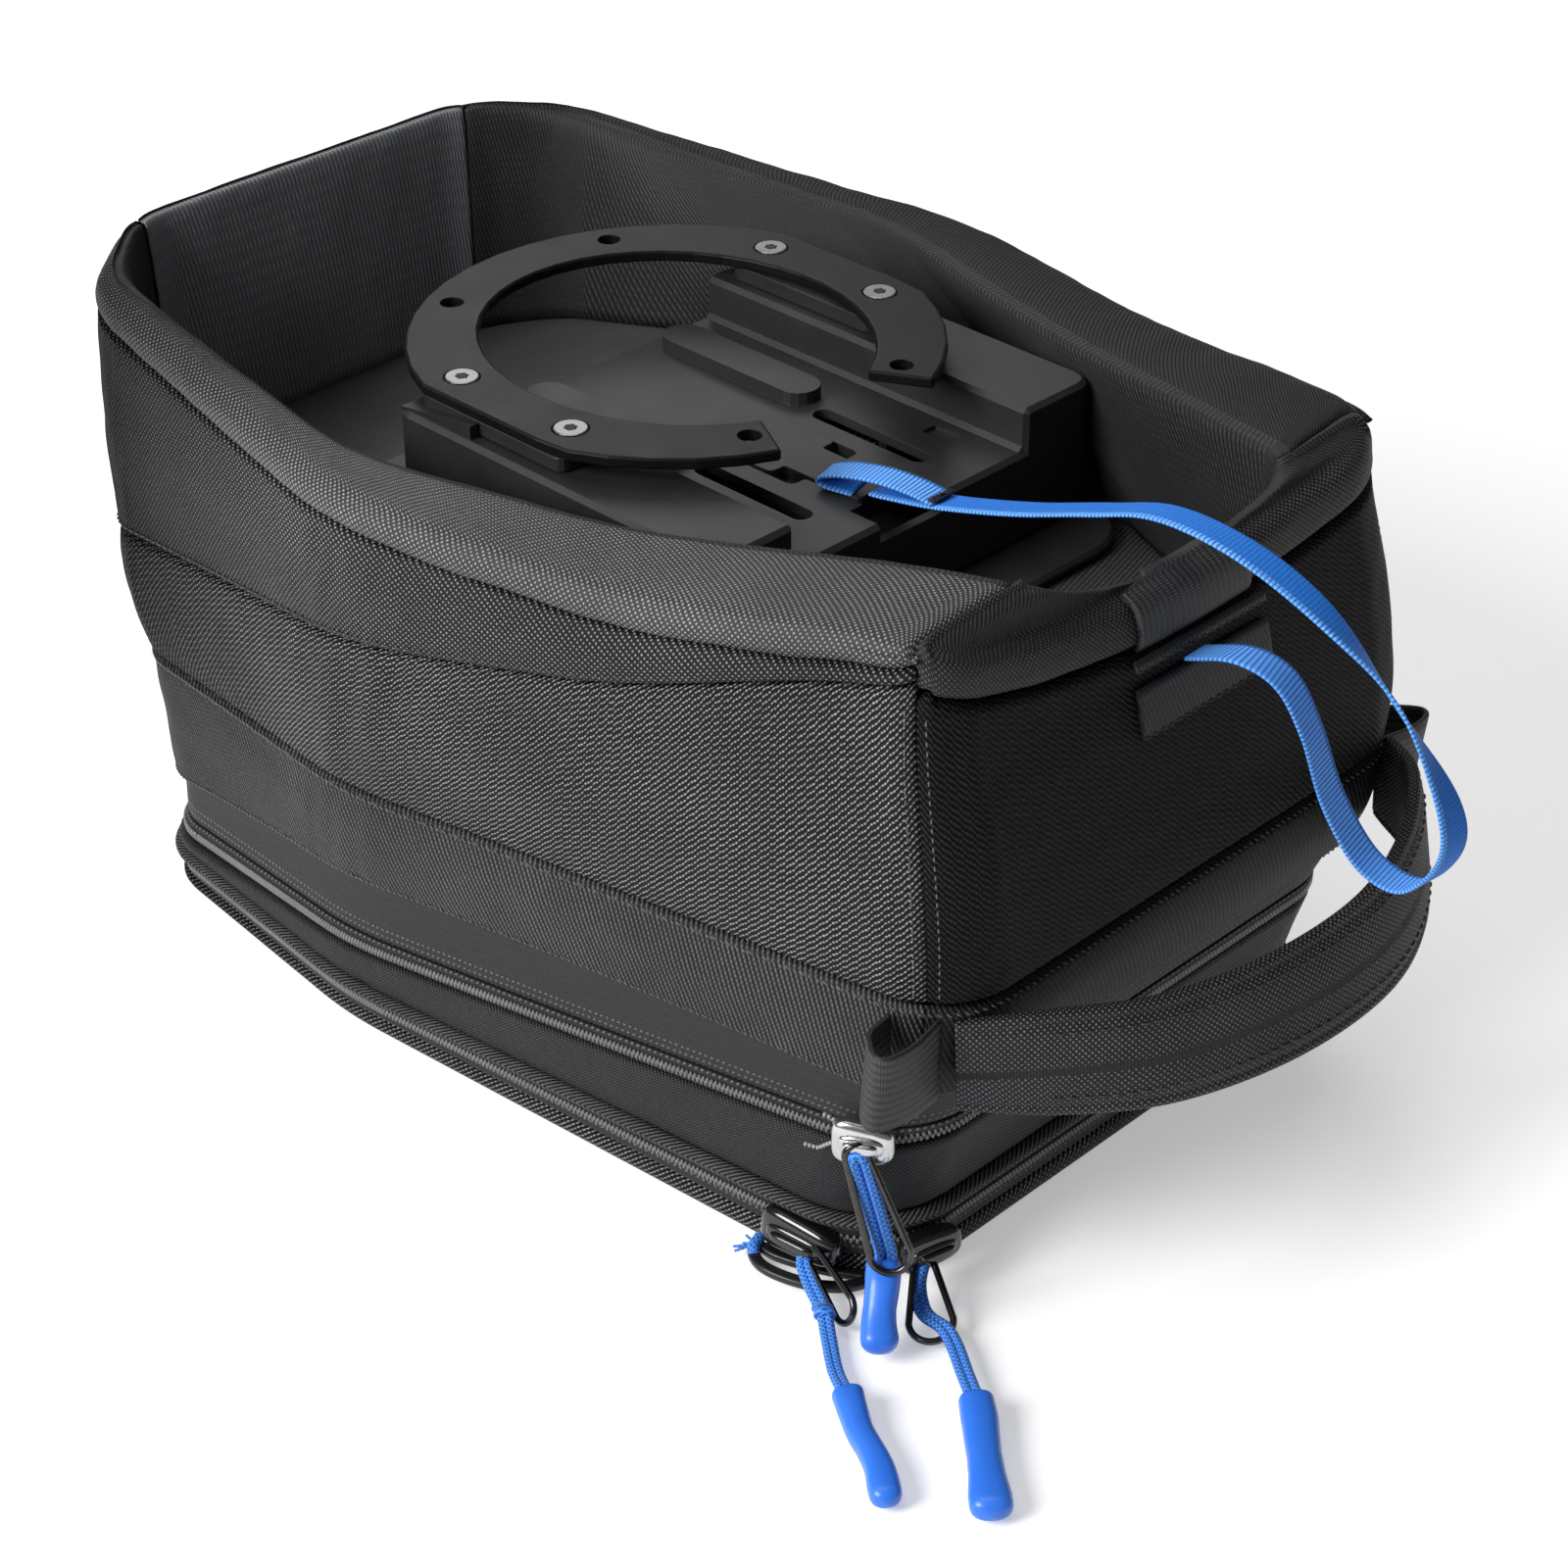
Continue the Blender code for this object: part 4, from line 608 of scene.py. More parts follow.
def makeBraid(name, dark, light, pitch, turn):
    # braided cord: two sets of strands that cross, worked out from the length and the way round
    finish, tree, shader = newFinish(name, dark, 0.55, sheen=0.2)
    along, up = clothPlace(tree)
    braid = wave(up * turn + along, pitch).step("MAXIMUM", wave(up * -turn + along, pitch))
    feed(shader["Base Color"], ramp(tree, braid, [(0.5, dark), (1.0, light)]))
    relief(tree, shader, braid, 0.2)
    return finish


cool = (0.97, 1.0, 1.07)
finishes = {}
for slot, made in dict(
    coarse_weave=[
        makeWoven("coarse_nylon", 0.003, 0.50, 2.05, -1.0, 2.0, 0.35, 0.30, gloss=0.18, front=0.10,
                  cloudy=0.12, stops=(0.34, 0.62, 0.80, 0.97)),
        makeWoven("roll_nylon", 0.006, 0.36, 2.05, 1.0, 2.05, 0.8, 0.30, gloss=0.2, front=0.12, cloudy=0.16,
                  stops=(0.30, 0.52, 0.74, 0.94)),
        # the roll's top takes three copies of one cloth: a lighter one on the near side (painted light),
        # darker ones on the far side and front, and on the rear (painted shade)
        makeWoven("roll_top_nylon", 0.034, 0.44, 1.9, 1.0, 1.9, 0.9, 0.20, front=0.3, cloudy=0.16),
        makeWoven("rear_roll_nylon", 0.007, 0.045, 1.5, 1.0, 1.5, 0.4, 0.14, gloss=0.25, cloudy=0.12),
        makeWoven("rear_roll_top_nylon", 0.016, 0.15, 1.6, 1.0, 1.6, 0.8, 0.16, gloss=0.3, cloudy=0.14),
        # the rear panel's and rear band's finishes are darker copies of the coarse and fine nylon: painted
        # shade on the handle end, which faces away from the key light
        makeWoven("rear_nylon_painted_shade", 0.0015, 0.036, 2.0, 1.0, 2.0, 0.35, 0.25, gloss=0.1, cloudy=0.14),
        makeGrained("worn_thread", grey(0.11), 0.6, 0.8, 0.05)],
    fine_weave=[
        makeWoven("fine_nylon", 0.004, 0.14, 1.7, 0.55, 1.5, 0.35, 0.14, tint=cool, gloss=0.25, front=0.5),
        makeWoven("rear_band_painted_shade", 0.003, 0.045, 1.7, 0.55, 1.5, 0.35, 0.14, gloss=0.2),
        makeWoven("zip_band_nylon", 0.003, 0.10, 1.3, 1.0, 1.3, 0.7, 0.14, tint=(0.95, 1.0, 1.10),
                  gloss=0.3),
        makeWoven("ridge_herringbone", 0.003, 0.13, 1.9, 1.2, 2.0, 0.1, 0.26, turnAt=4.0, gloss=0.3),
        makeWoven("handle_nylon", 0.010, 0.24, 1.7, 1.0, 1.7, 0.9, 0.16, tint=cool, gloss=0.35, cloudy=0.34),
        makeGrained("black_thread", grey(0.03), 0.6, 0.8, 0.05)],
    padded_lining=[
        makeWoven("padded_lining", 0.012, 0.045, 1.5, 0.3, 1.5, 0.3, 0.12, tint=(0.97, 1.0, 1.06),
                  gloss=0.35),
        # the floor's and front's linings are lighter copies of the padded lining: painted light on the recess
        # floor and the front's inner wall
        makeWoven("floor_lining_painted_light", 0.034, 0.11, 1.5, 0.3, 1.5, 0.3, 0.12, tint=(0.97, 1.0, 1.06)),
        makeWoven("front_lining_painted_light", 0.27, 0.36, 1.5, 0.15, 1.5, 0.3, 0.12, tint=cool)],
    zip_tape=[
        makeTape("zip_tape", 0.014, 0.22),
        makeGrained("zip_coil", grey(0.15), 0.28, 1.2, 0.02),
        makeGrained("coil_bead", grey(0.42), 0.35, 1.2, 0.02)],
    webbing=[
        makeWebbing("black_webbing", 0.004, 0.085, 2.4, lengthways=True),
        makeWebbing("patch_webbing", 0.007, 0.08, 2.1)],
    blue_webbing=[
        makeWebbing("blue_tape", 0.62, 1.0, 1.25, tint=(0.032, 0.27, 1.0), edge=(0.20, 0.48, 1.0),
                    gloss=0.2)],
    moulded_plastic=[
        makeGrained("moulded_plastic", grey(0.016), 0.5, 0.7, 0.03)],
    satin_black_ring=[
        makeGrained("satin_black_ring", grey(0.006, (1.04, 1.0, 0.93)), 0.40, 0.6, 0.015, gloss=0.16)],
    zinc_steel=[
        makeGrained("zinc_steel", (0.24, 0.24, 0.235), 0.30, 0.9, 0.02, metallic=1.0),
        # a near-black finish that paints the shade in the screws' star sockets
        makeGrained("screw_socket", grey(0.004), 0.6, 1.0, 0.01)],
    black_slider=[
        makeGrained("black_slider", grey(0.008), 0.14, 3.0, 0.03, metallic=0.2, coat=0.6),
        makeGrained("black_puller", grey(0.006), 0.34, 2.0, 0.03)],
    nickel_slider=[
        makeGrained("nickel_slider", (0.58, 0.575, 0.57), 0.22, 3.0, 0.02, metallic=1.0, spread=0.15)],
    gunmetal_wire=[
        makeGrained("gunmetal_wire", (0.07, 0.068, 0.065), 0.2, 3.0, 0.01, metallic=1.0)],
    blue_cord=[
        makeBraid("blue_braid", (0.008, 0.085, 0.50), (0.08, 0.36, 0.98), 1.5, 0.8)],
    blue_rubber=[
        makeGrained("blue_rubber", (0.032, 0.20, 0.88), 0.40, 0.8, 0.01, spread=0.06, coat=0.2)],
).items():
    for finish in made:
        finishes[finish.name.split(".")[0]] = (finish, slot)
print("finishes made", len(finishes))


# walls: bands of cloth carried round the bag between two seams

def bandSections(places, low, high, depth, thick, bulge=0.0, edge=1.2, folds=None, rowStep=1.6):
    # outer face: the wall moved in by the depth, less a parabola for the bulge, with a quarter circle at both
    # edges. The inner face lies a thickness behind.
    low, high = (np.broadcast_to(np.asarray(value, float), places.shape)[:, None] for value in (low, high))
    tall = high - low
    share = np.linspace(0.0, 1.0, max(int(tall.max() / rowStep), 4) + 1)
    height = low + tall * share
    near = np.minimum(share, 1.0 - share) * tall
    rounding = edge * (1.0 - np.sqrt(1.0 - np.clip(1.0 - near / edge, 0.0, 1.0) ** 2))
    inset = depth + rounding - bulge * 4.0 * share * (1.0 - share)
    if folds:
        inset = inset - folds(places[:, None], height, near)
    innerHeight = low + 0.15 + (tall - 0.3) * np.linspace(1.0, 0.0, 4)
    return np.concatenate([wall(places[:, None], height, inset),
                           wall(places[:, None], innerHeight, depth + thick)], 1)


def puckers(places, pitch, reach, size, seed, lean=0.0):
    # stitch puckers: a sine along the seam that fades with the distance from it
    run = runOf(wall(places, 100.0))
    draws = np.random.default_rng(seed)
    jitter = np.interp(run, np.linspace(0.0, run[-1], 60), draws.uniform(-0.8, 0.8, 60))[:, None]
    strength = np.interp(run, np.linspace(0.0, run[-1], 40), draws.uniform(0.6, 1.25, 40))[:, None]
    return lambda grid, height, near: size * strength * np.exp(-near / reach) * np.sin(
        (run[:, None] + jitter + lean * near) * math.tau / pitch)


def cloudFolds(size, length, seed, stretch=1.0, fade=8.0, least=0.0):
    # wide soft folds that fade towards the seams. A fifth of a corner's share counts as 27 mm.
    return lambda grid, height, near: size * softNoise(
        grid * 27.0, height * stretch, length, seed) * np.clip(near / fade, least, 1.0)


def endTuck(ends, depth):
    # the cloth turns in where it meets the next piece, and the tuck fades with the distance from the end
    return lambda grid, height, near: -depth * np.exp(-ends / 1.8)[:, None]


def addFolds(*parts):
    return lambda grid, height, near: sum(part(grid, height, near) for part in parts)


def clothRing(name, body, finishName, low, high, depth, thick, node, step=2.0, **shape):
    places = ringPlaces(step)
    sections = bandSections(places, low(places), high(places), depth, thick, **shape)
    return sweptCloth(name, sections, finishName, body, node, closedRun=True)


lidShape = dict(step=2.4, share=(0.0, 0.12, 0.3, 0.55, 0.8, 0.93, 1.0),
                inset=(3.2, 1.3, 0.35, -0.35, -0.2, 0.25, 1.2), inside=3.2, wall=(4.0, 5.6))


def buildLid():
    # a rounded edge carried round the bag, with a wide face under it and one inside
    places = ringPlaces(lidShape["step"])
    top = seamHeight("lid", places)
    outer = wall(places[:, None], top[:, None] * lidShape["share"], np.array(lidShape["inset"]))
    inner = wall(places[:, None], np.stack([top - 0.1, np.full_like(top, lidShape["inside"])], 1),
                 np.array(lidShape["wall"]))
    sections = np.concatenate([outer, inner], 1)
    rows, columns = sections.shape[:2]
    faces = gridFaces(rows, columns, True, False)
    faces += [[k * columns for k in range(rows)], [k * columns + columns - 1 for k in range(rows)]]
    piece = addPiece("lid_shell", sections, faces, "coarse_nylon", "lid", "lid_panel",
                     uvs=clothCoordinates(sections))
    # the wide faces take x and y as their cloth coordinates
    mesh = piece.data
    mesh.materials.append(finishes["padded_lining"][0])
    for face in mesh.polygons:
        if len(face.vertices) > 4:
            face.material_index = 1
            for corner in face.loop_indices:
                spot = mesh.vertices[mesh.loops[corner].vertex_index].co
                mesh.uv_layers["cloth"].data[corner].uv = spot[:2]


def teethAlong(name, body, places, line, depth, half, proud, side, pitch=1.5):
    # zip coil: one short rounded tooth for each pitch along the line, on one side of it
    run = runOf(wall(places, 100.0))
    spots = np.interp((np.arange(int(run[-1] / pitch)) + (0.5 if side > 0 else 0.0)) * pitch, run, places)
    centre = wall(spots, line(spots), depth)
    along = unit(wall(spots + 0.01, line(spots + 0.01), depth) - centre)
    out = unit(outOfWall(spots, line(spots), depth))
    up = unit(np.cross(out, along))
    rings = [around(centre + up * side * half * place, along * pitch * 0.36 * size, out * proud * size,
                    *circle(6))
             for place, size in ((-0.25, 0.55), (0.1, 1.0), (0.75, 1.0), (1.0, 0.5))]
    smallPieces(name, body, rings, "zip_coil")


def stitchRow(name, body, points, out, length, gap, radius, finishName="black_thread", lean=0.0):
    # stitches: each a small rounded lozenge laid along a line of points, sunk at its ends
    run = runOf(points)
    start = np.arange(int(run[-1] / (length + gap))) * (length + gap)
    first, last, outward = (np.stack([np.interp(place, run, source[:, k]) for k in range(3)], -1)
                            for place, source in ((start, points), (start + length, points), (start, out)))
    outward = unit(outward)
    side = np.cross(unit(last - first), outward)
    rings = []
    for share, size, rise in ((0.0, 0.35, -0.6), (0.2, 0.9, 0.25), (0.5, 1.0, 0.5), (0.8, 0.9, 0.25),
                              (1.0, 0.35, -0.6)):
        middle = (first + (last - first) * share + outward * rise * radius
                  + side * lean * (share - 0.5) * length)
        rings.append(around(middle, side * radius * size, outward * radius * size, *circle(6)))
    smallPieces(name, body, rings, finishName)


def stitchSeam(name, places, line, depth, lift, length, gap, radius, finishName="black_thread", lean=0.0):
    height = line(places) + lift
    stitchRow(name, "bag", wall(places, height, depth), outOfWall(places, height, depth), length, gap,
              radius, finishName, lean)


# each half of a zip: body, the tape's two seams, its depth, its CAD node, the coil's seam and shape, and side
zipHalves = dict(
    main_zip_lower=("lid", ("lid", 0.2), ("lidZip", -0.1), 0.6, "lid_zip_lower", "lidZip",
                    (0.5, 1.3, 0.55), -1.0),
    main_zip_upper=("zip_band", ("lidZip", 0.1), ("ridgeTop", -0.5), 0.8, "lid_zip_upper", "lidZip",
                    (0.5, 1.3, 0.55), 1.0),
    expansion_lower=("zip_band", ("expansion", -3.2), ("expansion", -0.1), 1.6, "expansion_zip_lower",
                     "expansion", (1.2, 1.4, 0.6), -1.0),
    expansion_upper=("bag", ("expansion", 0.1), ("expansion", 3.2), 1.6, "expansion_zip_upper", "expansion",
                     (1.2, 1.4, 0.6), 1.0))
wholeRing = evenPlaces(0.0, 40.0, 1.5)

buildLid()
for name, (body, low, high, depth, node, seam, coil, side) in zipHalves.items():
    clothRing(name + "_tape", body, "zip_tape", seamLine(*low), seamLine(*high), depth, 2.2, node, edge=0.5,
              rowStep=0.8)
    teethAlong(name + "_coil", body, wholeRing, seamLine(seam), *coil, side)
clothRing("ridge_cover", "zip_band", "ridge_herringbone", seamLine("ridgeFoot"), seamLine("ridgeTop"),
          -1.6, 3.6, "zip_ridge", step=1.5, bulge=0.9, edge=1.6, rowStep=0.7,
          folds=puckers(ringPlaces(1.5), 3.4, 1.6, 0.12, 3))
clothRing("zip_band_cloth", "zip_band", "zip_band_nylon", seamLine("ridgeTop", 0.2),
          seamLine("expansion", -3.1), 0.0, 3.0, "zip_band", step=1.2, bulge=0.8, edge=1.4,
          folds=addFolds(puckers(ringPlaces(1.2), 3.8, 2.2, 0.16, 4), cloudFolds(0.45, 26.0, 5, least=1.0)))
clothRing("skirt_cloth", "bag", "zip_tape", seamLine("expansion", 3.2), seamLine("hem", 9.6), 2.4, 3.0,
          "zip_skirt", edge=0.8)
print("lid, zips and zip band made")

wallShape = dict(bandWall=2.9, bandBulge=1.3, panelWall=4.8, panelBulge=2.2, seamGap=0.25, step=1.1)
endRows = dict(near=[-4], rear=[3, -4], far=[3], front=[])  # sections with stitches up the piece's end


def seamStitches(kind, side, places, sections):
    # pale stitches up a piece's end at a vertical seam, laid on the piece's own outer face
    for row in endRows[side]:
        line = sections[row, 2:-6]
        out = outOfWall(places[row], line[:, 2])
        end = "first" if row > 0 else "last"
        stitchRow(f"{kind}_seam_stitches_{side}_{end}", "bag", line + out * 0.05, out, 1.5, 1.1, 0.26,
                  "worn_thread")


def buildWalls():
    for side, (first, last) in wallRuns.items():
        seed = len(side)
        places = evenPlaces(first, last, wallShape["step"])
        folds = addFolds(puckers(places, 2.9, 3.2, 0.30, seed + 10),
                         cloudFolds(0.5, 30.0, 21, stretch=1.6, fade=3.0, least=0.2))
        sections = bandSections(places, seamHeight("hem", places), seamHeight("lower", places, -0.2), 0.0,
                                wallShape["bandWall"], wallShape["bandBulge"], 1.8, folds)
        # the handle end takes darker copies of the same cloth: painted shade
        bandFinish, panelFinish = (("rear_band_painted_shade", "rear_nylon_painted_shade") if side == "rear"
                                   else ("fine_nylon", "coarse_nylon"))
        sweptCloth("lower_band_cloth_" + side, sections, bandFinish, "bag", "lower_band_" + side)
        high = rollFoot[side](places) - (0.0 if side == "front" else wallShape["seamGap"])
        run = runOf(wall(places, 100.0))
        folds = addFolds(puckers(places, 3.3, 2.4, 0.30, seed + 20, 0.8), cloudFolds(1.0, 60.0, 31 + seed),
                         cloudFolds(0.35, 22.0, 41 + seed), endTuck(np.minimum(run, run[-1] - run), 1.2))
        sections = bandSections(places, seamHeight("lower", places, 0.2), high, 0.0, wallShape["panelWall"],
                                wallShape["panelBulge"], 2.2, folds)
        sweptCloth("wall_panel_" + side, sections, panelFinish, "bag", side + "_panel")
        seamStitches("panel", side, places, sections)


def floorHeight(x):
    beyond = np.maximum(recessFloor["breakX"] - x, 0.0) / (recessFloor["breakX"] - wallPlan["rim"][0][0])
    return recessFloor["top"] - recessFloor["frontDrop"] * beyond


def rollSection(places, side):
    # section of the padded roll: from the groove up and round the crest, then down to the recess floor, as
    # one smooth curve through its knots, and back inside the wall
    crest = crestHeight(places)
    crease = rimCrease(places, side)
    brim = ringPlan("brim", places)
    base = ringPlan("recess", places)
    outer = wall(places, crest)[:, :2]
    inward = unit(wall(places, crest, 8.0)[:, :2] - outer)
    width = np.linalg.norm(brim - outer, axis=1)[:, None]
    shoulder = brim - inward * np.minimum(5.0, width * 0.4)
    edge = outer + inward * np.minimum(5.4, width * 0.45)
    low = floorHeight(base[:, 0])
    deep = base + (brim - base) * 0.45 + inward * 1.5
    knots = [wall(places, crease + 0.3, 3.4), wall(places, crease + 0.5, 1.2), wall(places, crease + 3.6),
             wall(places, crest - 2.6, 1.2)]
    knots += [np.column_stack(row) for row in (
        (edge, crest + 0.4), ((edge + shoulder) / 2.0, crest + 0.9), (shoulder, crest + 0.2),
        (brim, crest - 4.6), (deep, low + (crest - low) * 0.45), (base, low - 1.0))]
    foot = np.minimum(low - 2.0, crease - 3.0)
    inside = np.stack([wall(places, foot, 5.4), wall(places, crease + 0.3, 5.4)], 1)
    return spline(np.stack(knots, 1), rimShape["rows"]), inside


def surfaceNormals(points):
    return unit(np.cross(np.gradient(points, axis=0), np.gradient(points, axis=1)))


def buildRim():
    for side, (first, last) in wallRuns.items():
        places = evenPlaces(first, last, rimShape["step"], 190.0)
        run = runOf(wall(places, 190.0))[:, None]
        ends = np.minimum(run, run[-1] - run)
        if side != "rear":
            folds = addFolds(puckers(places, 3.2, 2.4, 0.28, 71 + len(side)), cloudFolds(0.5, 26.0, 72),
                             endTuck(ends[:, 0], 1.6))
            band = bandSections(places, rollFoot[side](places) + 0.2, rimCrease(places, side), 0.0, 4.6,
                                bulge=1.3, edge=1.6, folds=folds, rowStep=1.2)
            sweptCloth("rim_band_" + side, band, "roll_nylon", "bag")
            seamStitches("rim", side, places, band)
        curve, inside = rollSection(places, side)
        row = np.linspace(0.0, 1.0, curve.shape[1])
        fromSeam = row * 70.0
        push = rimShape["fold"] * softNoise(run * 0.9, fromSeam * 2.0, 34.0, 51)
        push += 0.2 * softNoise(run, fromSeam * 3.0, 14.0, 52)
        ripple = np.sin(run * math.tau / rimShape["puckerPitch"])
        push += rimShape["pucker"] * ripple * np.exp(-fromSeam / 4.0)
        push -= (0.5 if side == "front" else 1.5) * np.exp(-ends / 2.0)
        if side == "front":
            push -= 1.8 * np.exp(-((row - 0.54) / 0.02) ** 2)
        push *= np.clip((1.0 - row) * 12.0, 0.0, 1.0)
        sections = np.concatenate([curve + surfaceNormals(curve) * push[..., None], inside], 1)
        rows, columns = sections.shape[:2]
        firstLined = int(rimShape["rows"] * rimShape["liningFrom"])
        lined = np.arange((rows - 1) * columns + 2) % columns >= firstLined
        lined[-2:] = False
        # the near roll's top is painted light, and the other roll tops are painted shade
        top = dict(near="roll_top_nylon", rear="rear_roll_top_nylon").get(side, "rear_roll_nylon")
        # the front's lining is a lighter copy of the padded lining: painted light
        lining = "front_lining_painted_light" if side == "front" else "padded_lining"
        stood = [] if side == "front" else [side + "_roll"]
        piece = sweptCloth("rim_roll_" + side, sections, top, "bag", *stood,
                           second=(lining, lined.astype(np.int32)))


floorShape = dict(rows=120, columns=80, fromX=-181.0, toX=159.0, thick=3.0, under=0.8, plate=(98.0, 80.0))


def buildRecessFloor():
    # a padded sheet: a grid over the recess plan, at the floor's height, with soft wrinkles
    rows, columns = floorShape["rows"], floorShape["columns"]
    x = np.linspace(floorShape["fromX"], floorShape["toX"], rows)[:, None]
    outline = ringPlan("recess", np.linspace(0.0, 20.0, 2000))
    half = np.interp(x, outline[:, 0], -outline[:, 1]) + floorShape["under"]
    across = np.linspace(-1.0, 1.0, columns)
    y = half * across
    x = np.broadcast_to(x, y.shape)
    rim = np.minimum((1.0 - np.abs(across)) * half, 12.0)
    underPlate = (np.abs(x) < floorShape["plate"][0]) & (np.abs(y) < floorShape["plate"][1])
    soft = 0.7 * softNoise(x, y, 46.0, 61) + 0.3 * softNoise(x, y, 17.0, 62) - 0.6
    sag = 1.2 * np.exp(-rim / 2.5)
    z = floorHeight(x) + np.where(underPlate, -0.3, soft * np.clip(rim / 8.0, 0.0, 1.0)) - sag
    top = np.stack([x, y, z], -1).reshape(-1, 3)
    points = np.concatenate([top, top - (0.0, 0.0, floorShape["thick"])])
    shift = rows * columns
    order = np.arange(shift).reshape(rows, columns)
    edge = [*order[:, 0], *order[-1, 1:], *order[-2::-1, -1], *order[0, -2:0:-1]]
    faces = gridFaces(rows, columns, False, False) + gridFaces(rows, columns, False, False, shift)
    faces += [[a, b, b + shift, a + shift] for a, b in zip(edge, edge[1:] + edge[:1])]
    addPiece("recess_floor_cloth", points, faces, "floor_lining_painted_light", "bag", "recess_floor",
             uvs=points[:, :2] * mm)


buildWalls()
buildRim()
buildRecessFloor()
stitchSeam("lower_seam_picot", wholeRing, seamLine("lower"), -0.30, -1.9, 1.5, 0.9, 0.30, "worn_thread", 0.6)
stitchSeam("hem_picot", wholeRing, seamLine("hem"), -0.22, 1.6, 1.3, 1.0, 0.26, "worn_thread", 0.5)
for side in ("near", "far"):
    first, last = wallRuns[side]
    stitchSeam("rim_top_stitch_" + side, evenPlaces(first + 0.1, last - 0.1, 1.5, 150.0), upperSeam, -0.45,
               2.6, 2.6, 1.3, 0.34)
print("walls, rim and recess made")


# folded gusset behind the expansion zip, which shows as the wall when the bag is expanded

gussetShape = dict(rise=(8.0, 46.0), thick=1.4, hingeX=-161.0, hingeZ=18.5, rearPlace=19.5, wall=6.5)


def gussetLimit(height, clearance):
    # furthest x that the bag's wall leaves free as it swings up on the expansion hinge: a circle round it
    foot = seams["expansion"][1]
    inner = wall(gussetShape["rearPlace"], foot, gussetShape["wall"])[0]
    reach = math.hypot(inner - gussetShape["hingeX"], foot - gussetShape["hingeZ"]) - clearance
    rise = height - gussetShape["hingeZ"]
    return gussetShape["hingeX"] + np.sqrt(np.maximum(reach * reach - rise ** 2, 0.0))


def buildGusset():
    # each section runs from the zip's foot in under the wall and up behind it, and back on its other face
    places = ringPlaces(2.0)
    split = seamHeight("expansion", places)
    low, high = gussetShape["rise"]
    top = split + low + (high - low) * shareAlong(places)
    knots = [(split - 8.0, 3.5), (split - 5.0, 3.5), (split - 2.6, 11.0), ((split - 2.6 + top) / 2.0, 11.3),
             (top, 11.0)]
    faces = []
    for depth in (0.0, gussetShape["thick"]):
        rows = []
        for k, (height, inset) in enumerate(knots):
            row = wall(places, np.minimum(height, split), inset + depth)
            row[:, 2] = height - (depth if k == 2 else 0.0)
            row[:, 0] = np.minimum(row[:, 0], gussetLimit(row[:, 2], 1.0 + depth))
            rows.append(row)
        faces.append(rows)
    sections = np.stack(faces[0] + faces[1][::-1], 1)
    sweptCloth("expansion_gusset_cloth", sections, "padded_lining", "zip_band", "expansion_gusset",
               closedRun=True)


buildGusset()


# blue release ribbon with the fold at its start

ribbon = dict(width=10.0, thick=1.0, length=337.0, points=240, foldPoints=60, route=[
    (64.6, 0.5, 177.6), (72.0, 1.0, 178.6), (90.0, 2.0, 182.0), (116.0, 2.0, 190.0), (140.0, 2.0, 199.0),
    (161.0, 2.0, 206.0), (183.0, 3.0, 205.0), (203.0, 6.0, 197.0), (221.0, 9.0, 184.0), (235.0, 12.0, 168.0),
    (246.5, 14.0, 150.0), (247.5, 15.0, 136.0), (238.5, 14.0, 123.5), (226.0, 12.0, 126.0),
    (216.0, 8.0, 142.0), (210.0, 4.0, 162.0), (203.0, 1.0, 175.0), (192.0, -2.0, 179.0),
    (177.4, -3.0, 174.2)],
    foldRoute=[(86.0, 1.6, 181.9), (78.0, 0.6, 183.0), (68.0, -1.6, 183.6), (58.0, -4.0, 182.6),
               (51.5, -5.4, 180.6), (49.6, -5.8, 178.9), (52.0, -5.2, 177.7), (60.0, -3.0, 177.4)])


def buildRibbon():
    path = spline(ribbon["route"], ribbon["points"])
    across = np.tile([0.0, 1.0, 0.0], (len(path), 1))
    knots = np.linspace(0.0, 18.0, len(path))
    across[:, 0] = np.interp(knots, [0, 5, 9, 12, 15, 18], [0.0, 0.05, 0.10, 0.1, -0.15, 0.0])
    # the tape twists at the eighth knot
    across += np.exp(-((knots - 8.6) / 1.1) ** 2)[:, None] * np.array([-0.5, -0.38, -0.5])
    main = tapeAlong("release_ribbon_tape", path, across, ribbon["width"], ribbon["thick"], "blue_tape",
                     "latch", "release_ribbon")
    fold = tapeAlong("release_ribbon_fold", spline(ribbon["foldRoute"], ribbon["foldPoints"]),
                     np.tile([-0.28, 1.0, 0.0], (ribbon["foldPoints"], 1)), ribbon["width"],
                     ribbon["thick"] * 0.9, "blue_tape", "latch")
    y = np.linspace(-4.4, 4.4, 12) + 1.8
    zigzag = np.arange(12) % 2
    tack = [np.stack([85.0 + 0.7 * (row % 2) + 0.35 * row + 0.25 * zigzag, y, np.full(12, 183.1)], -1)
            for row in range(5)]
    bar = tubeAlong("ribbon_bar_tack", np.concatenate(tack), 0.35, 6, "black_thread", "latch")
    path[0] * mm
    path * mm


buildRibbon()
print("ribbon laid")


# webbing loops, patches and the carry handle

loopShape = dict(tape=25.0, thick=1.6, z=91.5, depth=-2.6, reach=20.0, shift=2.0, points=72)


def buildLoops():
    for side, label, corner in ((-1.0, "near", rearCorners[0]), (1.0, "far", rearCorners[1])):
        start, end = (wall(corner + side * place, loopShape["z"], loopShape["depth"]) for place in (1.5, 0.2))
        tip = wall(corner + side * 0.8, loopShape["z"]) + (loopShape["shift"], side * loopShape["reach"], 0.0)
        route = [start, start + (tip - start) * 0.55 + (-3.0, 0.0, 0.0), tip + (-2.0, -side * 2.0, 0.0),
                 tip + (2.0, -side * 0.5, 0.0), tip + (4.5, -side * 3.0, 0.0),
                 end + (tip - end) * 0.5 + (3.5, 0.0, 0.0), end]
        lean = np.tile([0.0, 0.0, 1.0], (loopShape["points"], 1))
        lean[:, 0] = 0.12 * np.sin(np.linspace(0.0, math.pi, loopShape["points"]))
        tapeAlong(label + "_loop_tape", spline(route, loopShape["points"]), lean, loopShape["tape"],
                  loopShape["thick"], "black_webbing", "bag", label + "_loop")


